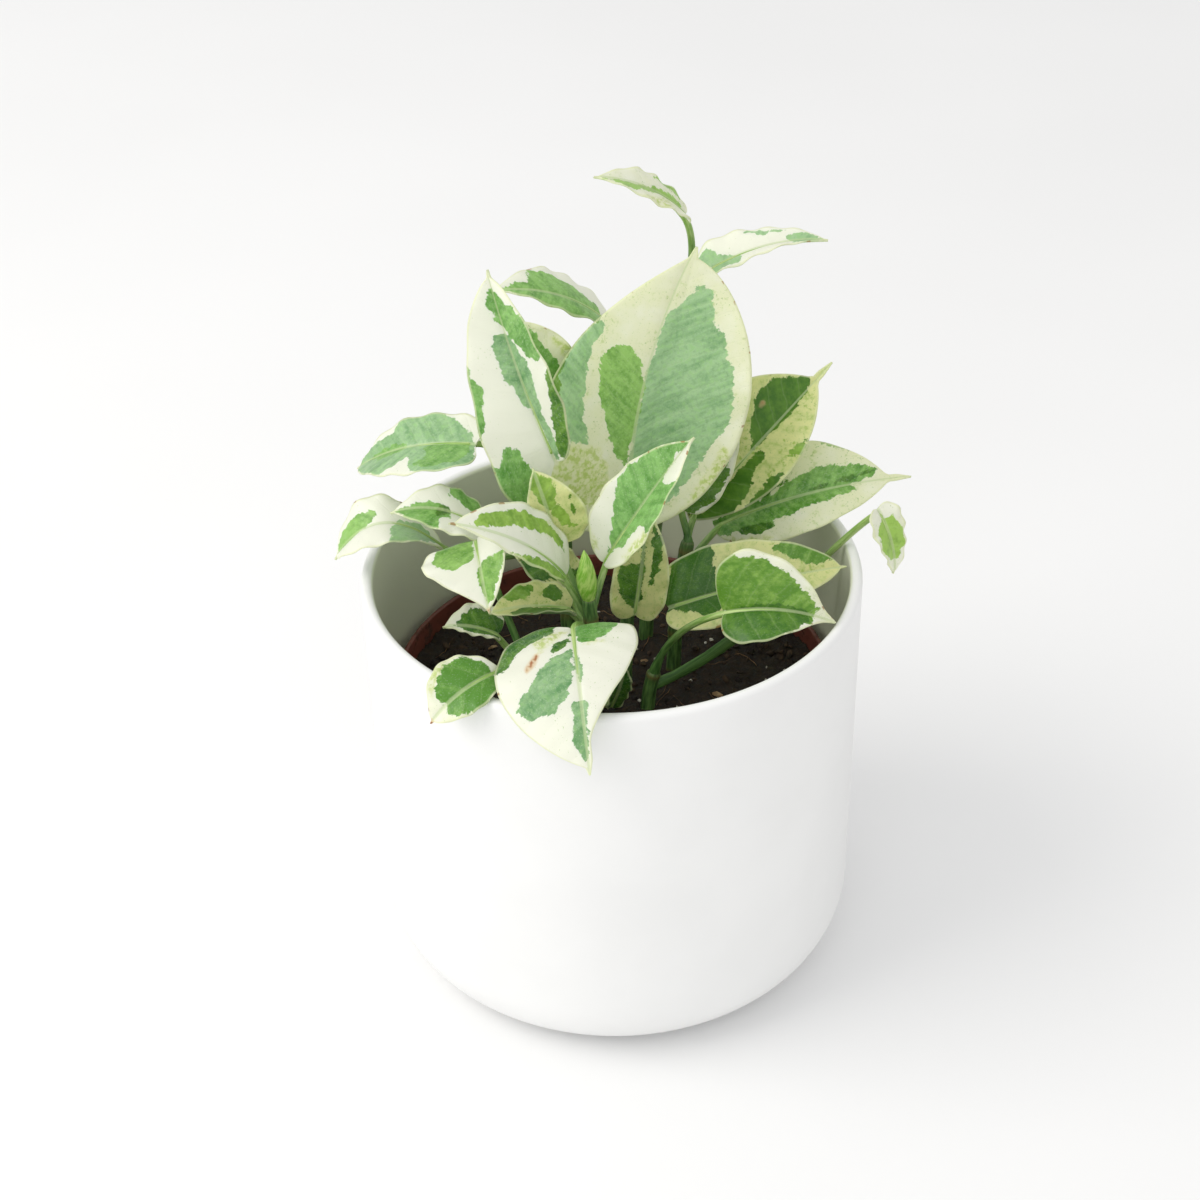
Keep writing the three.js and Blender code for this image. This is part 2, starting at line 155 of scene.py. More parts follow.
def sweep(bm, path, radii, sides, wide=None, turn=None):
    # a round section carried along the path, ring by ring; wide flattens it sideways
    tangents = []
    for i in range(len(path)):
        tangents.append((path[min(i + 1, len(path) - 1)] - path[max(i - 1, 0)]).normalized())
    side = (turn or Vector((1, 0, 0))).normalized()
    matrices = []
    for i, tangent in enumerate(tangents):
        side = (side - tangent * side.dot(tangent)).normalized()
        other = tangent.cross(side)
        stretch = wide[i] if wide else 1
        columns = [side * radii[i] * stretch, other * radii[i], tangent * mm, path[i]]
        matrices.append(Matrix([[c[k] for c in columns] for k in range(3)] + [[0, 0, 0, 1]]))
    before = set(bm.faces)
    start = bmesh.ops.create_circle(bm, segments=sides, radius=1, cap_ends=True)
    ring = start["verts"]
    edges = list({e for v in ring for e in v.link_edges})
    bmesh.ops.transform(bm, matrix=matrices[0], verts=ring)
    made = list(ring)
    for i in range(1, len(path)):
        grown = bmesh.ops.extrude_edge_only(bm, edges=edges)["geom"]
        ring = [g for g in grown if isinstance(g, bmesh.types.BMVert)]
        edges = [g for g in grown if isinstance(g, bmesh.types.BMEdge)]
        edges = [e for e in edges if e.verts[0] in ring and e.verts[1] in ring]
        bmesh.ops.transform(bm, matrix=matrices[i] @ matrices[i - 1].inverted(), verts=ring)
        made += ring
    bmesh.ops.contextual_create(bm, geom=edges)
    faces = [f for f in bm.faces if f not in before]
    bmesh.ops.recalc_face_normals(bm, faces=faces)
    return made, faces


view = {"lens": 63.89, "place": (0.0, -0.47803, 0.44019), "yaw": -0.391, "down": 34.629, "roll": -1.299}

yaw, down, roll = (math.radians(view[k]) for k in ("yaw", "down", "roll"))
ahead = Vector((math.sin(yaw) * math.cos(down), math.cos(yaw) * math.cos(down), -math.sin(down)))
level = Vector((math.cos(yaw), -math.sin(yaw), 0))
upright = level.cross(ahead)
right = level * math.cos(roll) + upright * math.sin(roll)
up = upright * math.cos(roll) - level * math.sin(roll)
camera = bpy.data.objects.new("camera", bpy.data.cameras.new("camera"))
camera.data.lens = view["lens"]
camera.data.sensor_width = 36
camera.data.clip_start = 0.01
columns = (right, up, -ahead, Vector(view["place"]))
camera.matrix_world = Matrix([[c[i] for c in columns] for i in range(3)] + [[0, 0, 0, 1]])
bpy.context.scene.collection.objects.link(camera)
bpy.context.scene.camera = camera
bpy.context.scene.view_settings.view_transform = "Standard"

studio = {
    "floorSize": 8.0, "floorColour": "#f4f4f4", "floorCloud": "#f1f1f1", "floorRoughness": 0.75,
    "world": 0.78, "worldColour": "#ffffff", "aim": (0, 0, 0.1),
    "keyPower": 14.0, "keyPlace": (-1.2, -0.3, 1.25), "keySize": 1.2, "keyColour": "#fffdf8",
    "fillPower": 4.5, "fillPlace": (-0.2, -1.5, 1.25), "fillSize": 1.6, "fillColour": "#fbfdff",
}


def paleFloor():
    # matt white board, so that only a soft shadow shows on it
    material, node = startMaterial("paleMattFloor")
    where = node("place")
    tone = node("ramp", node("noise", where, 2.0, 3.0, 0.55), 0.35, 0.65)
    colour = node("mix", tone, linear(studio["floorColour"]), linear(studio["floorCloud"]))
    node("surface", node("solid", colour, studio["floorRoughness"]))
    return material


bm = bmesh.new()
bmesh.ops.create_grid(bm, x_segments=2, y_segments=2, size=studio["floorSize"] / 2)
floorMesh = bpy.data.meshes.new("studioFloor")
bm.to_mesh(floorMesh)
bm.free()
floorMesh.materials.append(paleFloor())
studioFloor = bpy.data.objects.new("studioFloor", floorMesh)
bpy.context.scene.collection.objects.link(studioFloor)


def softBox(name, power, place, size, hexColour):
    light = bpy.data.lights.new(name, "AREA")
    light.energy, light.size, light.color = power, size, linear(hexColour)[:3]
    lamp = bpy.data.objects.new(name, light)
    lamp.location = place
    lamp.rotation_euler = (Vector(studio["aim"]) - Vector(place)).to_track_quat("-Z", "Y").to_euler()
    bpy.context.scene.collection.objects.link(lamp)


softBox("windowLight", studio["keyPower"], studio["keyPlace"], studio["keySize"], studio["keyColour"])
softBox("fillLight", studio["fillPower"], studio["fillPlace"], studio["fillSize"], studio["fillColour"])
world = bpy.data.worlds.new("paleRoom")
bpy.context.scene.world = world
world.use_nodes = True
background = world.node_tree.nodes["Background"]
background.inputs["Color"].default_value = linear(studio["worldColour"])
background.inputs["Strength"].default_value = studio["world"]
print("studio ready")


coverPot = {
    "radius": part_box("cover_pot")[1].x, "height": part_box("cover_pot")[1].z, "wall": 3.3 * mm,
    "floor": 5 * mm, "foot": 20 * mm, "segments": 160,
    # inside: the colour of the painted shade on the pot's inner wall
    "glaze": "#f1f1f0", "cloud": "#eeeeed", "inside": "#e6e9d4", "pinhole": "#8b8781",
    "roughness": 0.42,
}


def matteWhiteGlaze():
    # slip-cast stoneware in a smooth matt white glaze: broad soft highlights, a faint unevenness from
    # the glaze, and a few pinholes
    material, node = startMaterial("matteWhiteGlaze")
    where = node("place")
    cloud = node("ramp", node("noise", where, 28.0, 3.0, 0.55), 0.3, 0.7)  # patches about 35 mm across
    grain = node("noise", where, 1600.0, 2.0, 0.55)  # 0.6 mm grain of the matt glaze
    pits = node("cells", where, 95.0)
    few = node("ramp", node("noise", where, 60.0, 1.0, 0.55), 0.66, 0.7)
    pit = node("times", node("ramp", pits, 0.035, 0.02), few)  # pinholes 0.4 mm wide
    colour = node("mix", cloud, linear(coverPot["glaze"]), linear(coverPot["cloud"]))
    insideShade = node("number", attribute_name="insideShadeMask")
    colour = node("mix", insideShade, colour, linear(coverPot["inside"]))  # painted shade on the inner wall, a little green
    colour = node("mix", pit, colour, linear(coverPot["pinhole"]))
    height = node("plus", node("times", grain, 0.05), node("times", cloud, 0.6))
    height = node("minus", height, node("times", pit, 0.8))
    bump = node("bump", height, 0.25, 0.15 * mm)
    rough = node("ramp", cloud, 0.0, 1.0, coverPot["roughness"] - 0.03, coverPot["roughness"] + 0.05)
    node("surface", node("solid", colour, rough, bump, 1.5))
    return material


def coverPotPiece():
    p = coverPot
    lip = p["wall"] / 2
    inside = p["radius"] - p["wall"]
    inner = p["foot"] - p["wall"]
    profile = [(hub, 0), (p["radius"] * 0.4, 0)]
    profile += arc(p["radius"] - p["foot"], p["foot"], p["foot"], -90, 0, 16)
    profile += [(p["radius"], p["height"] * s) for s in (0.3, 0.5, 0.7, 0.9)]
    profile += arc(p["radius"] - lip, p["height"] - lip, lip, 0, 180, 10)
    profile += [(inside, p["height"] * s) for s in (0.85, 0.6, 0.4)]
    profile += arc(inside - inner, p["floor"] + inner, inner, 0, -90, 10)
    profile += [(hub, p["floor"])]
    bm = bmesh.new()
    turnedShell(bm, profile, p["segments"])
    # marks the inner wall, which gets the painted shade colour
    insideShade = bm.verts.layers.float.new("insideShadeMask")
    for v in bm.verts:
        low = max(0, p["foot"] - v.co.z)
        outer = p["radius"] - p["foot"] + math.sqrt(p["foot"] ** 2 - low ** 2)
        v[insideShade] = 1 if v.co.z > 1 * mm and math.hypot(v.co.x, v.co.y) < outer - p["wall"] * 0.9 else 0
    piece = newPiece("glazedCoverPot", bm, [matteWhiteGlaze()])
    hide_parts("cover_pot")


coverPotPiece()
print("cover pot made")


growersPot = {
    "rim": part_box("growers_pot")[1].x, "top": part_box("growers_pot")[1].z,
    "base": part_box("growers_pot")[0].z,
    "wall": 1.4 * mm, "floor": 1.8 * mm, "taper": 17 * mm, "band": 11 * mm, "step": 1.8 * mm,
    "segments": 144, "round": 0.7 * mm, "bevel": 0.25 * mm,
    "plastic": "#7c4238", "shade": "#6b372e", "dust": "#3a2a22", "roughness": 0.42, "dusty": 0.85,
}


def mouldedTerracottaPlastic():
    # injection-moulded polypropylene in brick red: satin, with a fine spark-eroded grain and soil dust
    material, node = startMaterial("mouldedTerracottaPlastic")
    where = node("place")
    dust = node("ramp", node("noise", where, 160.0, 5.0, 0.7), 0.52, 0.68)  # crumbs a few mm apart
    grain = node("noise", where, 2400.0, 2.0, 0.55)  # 0.4 mm mould grain
    colour = node("mix", node("ramp", node("noise", where, 40.0, 3.0, 0.55), 0.35, 0.65),
                  linear(growersPot["plastic"]), linear(growersPot["shade"]))
    colour = node("mix", node("times", dust, 0.7), colour, linear(growersPot["dust"]))
    rough = node("ramp", dust, 0.0, 1.0, growersPot["roughness"], growersPot["dusty"])
    height = node("plus", node("times", grain, 0.2), dust)
    bump = node("bump", height, 0.35, 0.1 * mm)
    node("surface", node("solid", colour, rough, bump))
    return material


def growersPotPiece():
    p = growersPot
    body = p["rim"] - p["step"]
    foot = body - p["taper"]
    bandFoot = p["top"] - p["band"]
    profile = [(hub, p["base"]), (foot - 1 * mm, p["base"]), (foot, p["base"] + 1 * mm)]
    profile += [(body, bandFoot - 0.4 * mm), (body + 0.4 * mm, bandFoot), (p["rim"] - 0.3 * mm, bandFoot)]
    profile += [(p["rim"], bandFoot + 0.3 * mm), (p["rim"], p["top"] - 1.2 * mm)]
    profile += arc(p["rim"] - p["round"], p["top"] - p["round"], p["round"], 0, 180, 8)
    profile += [(p["rim"] - p["wall"], bandFoot + p["wall"]), (body - p["wall"], bandFoot - 0.6 * mm)]
    profile += [(foot - p["wall"], p["base"] + p["floor"]), (hub, p["base"] + p["floor"])]
    bm = bmesh.new()
    turnedShell(bm, profile, p["segments"])
    piece = newPiece("plasticGrowersPot", bm, [mouldedTerracottaPlastic()])
    bevel = piece.modifiers.new("moulded edges", "BEVEL")
    bevel.width, bevel.segments = p["bevel"], 2
    bevel.limit_method, bevel.angle_limit = "ANGLE", math.radians(40)
    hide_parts("growers_pot")


growersPotPiece()
print("grower's pot made")


soil = {
    "edge": growersPot["rim"] - growersPot["wall"] - 0.25 * mm, "crown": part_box("soil")[1].z,
    "fall": 2 * mm, "depth": 9 * mm, "cells": 210, "clods": 1.5 * mm,
    "peatAndHollowShade": "#120e0b", "crumb": "#3a2d22", "grain": "#66533f", "bitShade": "#241a14",
    "fibres": 46, "fibreRadius": 0.12 * mm, "fibreStep": 1.3 * mm, "fibreLift": 0.35 * mm,
}
# loose bits: how many, their radius in mm, how narrow and flat, the share of it that shows, and the
# colours, roughness and grain of their material
looseBits = {
    "barkCrumbs": {"count": 700, "radius": (0.4, 1.8), "narrow": (0.45, 0.8), "flat": (0.3, 0.7),
                   "lift": 0.2, "finish": ("compostedBark", "#4a3828", "#1c1410", 0.9, 900.0)},
    "woodChips": {"count": 40, "radius": (0.9, 2.6), "narrow": (0.25, 0.5), "flat": (0.2, 0.35),
                  "lift": 0.35, "finish": ("paleWoodChip", "#c9ab84", "#8d6f4f", 0.8, 500.0)},
    "perliteGrains": {"count": 46, "radius": (0.3, 0.85), "narrow": (0.6, 0.95), "flat": (0.6, 0.95),
                      "lift": 0.4, "finish": ("perlite", "#efece4", "#d8d2c6", 0.85, 1500.0)},
}


def soilHeight(x, y):
    r = math.hypot(x, y) / soil["edge"]
    lie = soil["crown"] - soil["fall"] * max(0.0, min(1.0, (r - 0.4) / 0.6)) - 1.0 * mm
    spot = Vector((x, y, 0.0)) * 1000
    clods = noise.noise(spot * 0.11) * 0.9 + noise.noise(spot * 0.32 + Vector((7, 3, 1))) * 0.7
    crumbs = abs(noise.noise(spot * 0.8 + Vector((1, 9, 4)))) * 0.6 + noise.noise(spot * 1.9) * 0.22
    return lie + soil["clods"] * (clods + crumbs)


def darkPottingSoil():
    # peaty potting mix: near black in the hollows, partly its own colour and partly painted shade, with
    # browner crumbs on top
    material, node = startMaterial("darkPottingSoil")
    where = node("place")
    crumbs = node("noise", where, 520.0, 6.0, 0.72)  # 2 mm crumbs
    fine = node("noise", where, 2600.0, 3.0, 0.7)  # 0.4 mm grains
    # the low parts of the crumb pattern, sunk by the bump too, get the near-black colour: painted shade in
    # the hollows
    colour = node("mix", node("ramp", crumbs, 0.35, 0.68), linear(soil["peatAndHollowShade"]), linear(soil["crumb"]))
    colour = node("mix", node("ramp", fine, 0.62, 0.72), colour, linear(soil["grain"]))
    height = node("plus", crumbs, node("times", fine, 0.4))
    bump = node("bump", height, 0.9, 0.7 * mm)
    rough = node("ramp", crumbs, 0.3, 0.6, 0.55, 0.95)
    node("surface", node("solid", colour, rough, bump))
    return material


def crumbMaterial(name, light, dark, roughness, grain):
    # loose bits in the mix: each piece is a little lighter or darker than the next
    material, node = startMaterial(name)
    where = node("place")
    tone = node("noise", where, 210.0, 2.0, 0.55)
    streak = node("noise", where, grain, 4.0, 0.7)
    colour = node("mix", node("ramp", tone, 0.38, 0.62), linear(dark), linear(light))
    colour = node("mix", node("ramp", streak, 0.4, 0.75, 0.0, 0.5), colour, linear(soil["bitShade"]))
    bump = node("bump", streak, 0.6, 0.2 * mm)
    node("surface", node("solid", colour, roughness, bump))
    return material


def scatter(name, bits):
    bm = bmesh.new()
    for _ in range(bits["count"]):
        r, a = soil["edge"] * math.sqrt(random.random()) * 0.975, random.uniform(0, 2 * math.pi)
        x, y = r * math.cos(a), r * math.sin(a)
        size = random.uniform(*bits["radius"]) * mm
        verts = bmesh.ops.create_icosphere(bm, subdivisions=1, radius=size)["verts"]
        squash = (1, random.uniform(*bits["narrow"]), random.uniform(*bits["flat"]))
        bmesh.ops.scale(bm, verts=verts, vec=squash)
        for v in verts:
            v.co *= random.uniform(0.72, 1.15)
        turn = Matrix.Rotation(random.uniform(0, 6.28), 4, "Z")
        for axis in "XY":
            turn = turn @ Matrix.Rotation(random.uniform(-0.6, 0.6), 4, axis)
        place = Matrix.Translation((x, y, soilHeight(x, y) + size * bits["lift"]))
        bmesh.ops.transform(bm, matrix=place @ turn, verts=verts)
    bmesh.ops.recalc_face_normals(bm, faces=bm.faces)
    newPiece(name, bm, [crumbMaterial(*bits["finish"])], smooth=False)


def soilPieces():
    edge = soil["edge"]
    bm = bmesh.new()
    bmesh.ops.create_grid(bm, x_segments=soil["cells"], y_segments=soil["cells"], size=edge * 1.04)
    outside = [v for v in bm.verts if math.hypot(v.co.x, v.co.y) > edge * 1.03]
    bmesh.ops.delete(bm, geom=outside, context="VERTS")
    for v in bm.verts:  # the ragged rim of the grid is drawn in to the pot's wall
        r = math.hypot(v.co.x, v.co.y)
        if r > edge:
            v.co.x, v.co.y = v.co.x * edge / r, v.co.y * edge / r
    for v in bm.verts:
        v.co.z = soilHeight(v.co.x, v.co.y)
    rim = [e for e in bm.edges if e.is_boundary]
    skirt = bmesh.ops.extrude_edge_only(bm, edges=rim)["geom"]
    low = [g for g in skirt if isinstance(g, bmesh.types.BMVert)]
    for v in low:
        v.co.z = soil["crown"] - soil["depth"]
    bmesh.ops.scale(bm, verts=low, vec=(0.96, 0.96, 1))
    bottom = [g for g in skirt if isinstance(g, bmesh.types.BMEdge) and g.is_boundary]
    bmesh.ops.contextual_create(bm, geom=bottom)
    bmesh.ops.remove_doubles(bm, verts=bm.verts, dist=0.01 * mm)
    bmesh.ops.recalc_face_normals(bm, faces=bm.faces)
    piece = newPiece("pottingSoil", bm, [darkPottingSoil()])
    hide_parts("soil")
    for name, bits in looseBits.items():
        scatter(name, bits)

    bm = bmesh.new()
    for _ in range(soil["fibres"]):
        r, a = edge * 0.92 * math.sqrt(random.random()), random.uniform(0, 2 * math.pi)
        start = Vector((r * math.cos(a), r * math.sin(a), 0))
        way = random.uniform(0, 6.28)
        path = []
        for k in range(7):
            way += random.uniform(-0.5, 0.5)
            start = start + Vector((math.cos(way), math.sin(way), 0)) * soil["fibreStep"]
            if start.length > edge * 0.97:
                start = start.normalized() * edge * 0.97
            path.append(Vector((start.x, start.y, soilHeight(start.x, start.y) + soil["fibreLift"])))
        sweep(bm, path, [soil["fibreRadius"]] * len(path), 4)
    newPiece("rootFibres", bm, [crumbMaterial("coirFibre", "#8b6b48", "#5b432e", 0.8, 900.0)])


soilPieces()
print("soil made")


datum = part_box("soil")[1].z - 1.3 * mm  # the heights in the plant's tables start here

stemShape = {"radius": 2.3 * mm, "footDepth": 13.7 * mm, "rings": 46, "sides": 18,
             "nodeEvery": 13 * mm, "waist": 0.93, "swelling": 0.09, "taper": 0.12, "roughness": 0.42,
             "dark": "#34572a", "light": "#6c9150", "scar": "#7a6a3f"}

stems = {
    "centre": {"foot": (3, 1), "bends": [(3, 2, 6), (4, 5, 20)], "top": (5, 6, 32)},
    "back": {"foot": (9, 22), "bends": [(10, 26, 30), (18, 42, 70)], "top": (22, 39, 104)},
    "left": {"foot": (-12, 17), "bends": [(-13, 19, 20), (-14, 23, 42)], "top": (-10, 31, 62)},
    "front": {"foot": (-5, -10), "bends": [(-5, -10, 10), (-5, -19, 28)], "top": (-6, -20, 44)},
    "right": {"foot": (17, 9), "bends": [(17, 9, 10), (18, 10, 25)], "top": (21, 12, 40)},
    "front_right": {"foot": (9, -10), "bends": [(9, -10, 4), (10, -10, 8)], "top": (11, -10, 12)},
    "left_front": {"foot": (-20, -13), "bends": [(-20, -13, 4), (-21, -14, 12)], "top": (-23, -15, 19)},
}


def placed(point):
    return Vector((point[0] * mm, point[1] * mm, datum + point[2] * mm))


def stemCurve(stem):
    foot = Vector((stem["foot"][0] * mm, stem["foot"][1] * mm, datum - stemShape["footDepth"]))
    return [foot, placed(stem["bends"][0]), placed(stem["bends"][1]), placed(stem["top"])]


def greenLivingStem():
    # pothos stem: smooth and waxy, mid green with paler lengthwise streaks and a brown scar at each node
    material, node = startMaterial("greenLivingStem")
    along = node("vector", attribute_name="stemFlat")
    stretched = node("stretch", along, (1.0, 0.12, 1.0))
    streak = node("noise", stretched, 1.4, 3.0, 0.55)
    scar = node("number", attribute_name="nodeScar")
    dark, light = linear(stemShape["dark"]), linear(stemShape["light"])
    colour = node("mix", node("ramp", streak, 0.35, 0.7), dark, light)
    colour = node("mix", node("times", scar, 0.75), colour, linear(stemShape["scar"]))
    bump = node("bump", streak, 0.25, 0.15 * mm)
    node("surface", node("flesh", colour, stemShape["roughness"], bump, 0.08, 1 * mm))
    return material


def stemPiece(name, stem, material):
    curve = stemCurve(stem)
    rings = stemShape["rings"]
    path = [bezier(curve, i / (rings - 1)) for i in range(rings)]
    length, lengths = 0.0, [0.0]
    for a, b in zip(path, path[1:]):
        length += (b - a).length
        lengths.append(length)
    radii, scars = [], []
    for s in lengths:
        near = abs((s / stemShape["nodeEvery"]) % 1 - 0.5) * 2  # 1 half way between two nodes
        swell = math.exp(-((1 - near) * 7) ** 2)
        taper = 1 - stemShape["taper"] * s / length
        radii.append(stemShape["radius"] * taper * (stemShape["waist"] + stemShape["swelling"] * swell))
        scars.append(swell)
    tip = path[-1] - path[-2]
    for k in (0.35, 0.75, 0.98):  # rounded top
        path.append(path[rings - 1] + tip.normalized() * radii[rings - 1] * k * 0.8)
        lengths.append(length)
        radii.append(radii[rings - 1] * math.sqrt(1 - k * k))
        scars.append(0.3)
    bm = bmesh.new()
    flat = bm.verts.layers.float_vector.new("stemFlat")
    scarLayer = bm.verts.layers.float.new("nodeScar")
    verts, _ = sweep(bm, path, radii, stemShape["sides"])
    for i, v in enumerate(verts):
        ring = i // stemShape["sides"]
        away = v.co - path[ring]
        v[flat] = (math.atan2(away.y, away.x) * 2.3, lengths[ring] * 1000, len(name))
        v[scarLayer] = scars[ring]
    piece = newPiece("cutting_" + name, bm, [material])
    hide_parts("stem_" + name)


stemGreen = greenLivingStem()
for stemName, stem in stems.items():
    stemPiece(stemName, stem, stemGreen)
print("stems made")


# base and tip are the ends of the midrib and face is the way the upper side looks. Pairs are the left
# and right half seen from above with the tip ahead. The colour patches are outlines of (share of the
# midrib, mm across, left positive), laid over the ground colour.
leafShape = {
    "thickness": 0.62 * mm, "rows": 58, "columns": 44,
    "start": 0.006, "end": 0.985, "reach": 0.06, "tail": 0.1, "petiole": 1.15 * mm,
    "petioleRings": 26, "petioleSides": 12, "veinEvery": 5.2, "tipWidth": 0.75, "crimp": 0.5,
    "ribStep": 0.05, "ribEnd": 0.93, "ribWidth": 0.75, "ribTip": 0.12, "patchReach": 9.0, "seedStep": 37.0,
    "groove": 0.34, "grooveWidth": 0.75, "marginThinning": 0.75, "crowding": 1.15, "veinSlant": 0.75,
}

leafDefaults = {
    "lobe": 8, "widest": 0.36, "taper": 0.8, "drip": 0.05, "arch": 3, "fold": (12, 12), "cup": (0, 0),
    "wave": 0.6, "leave": 12, "arrive": 12, "via": None, "vein": 0, "ground": "cream", "sheath": None,
    # fresh lightens a leaf's greens: partly how new it is, partly painted light or shade for where the leaf
    # stands
    "freshAndLit": 0.6, "warm": 0.3, "quilt": 0.13,
    "deepAndShade": [], "leaf": [], "greyAndSheen": [], "lime": [], "spot": [],
}

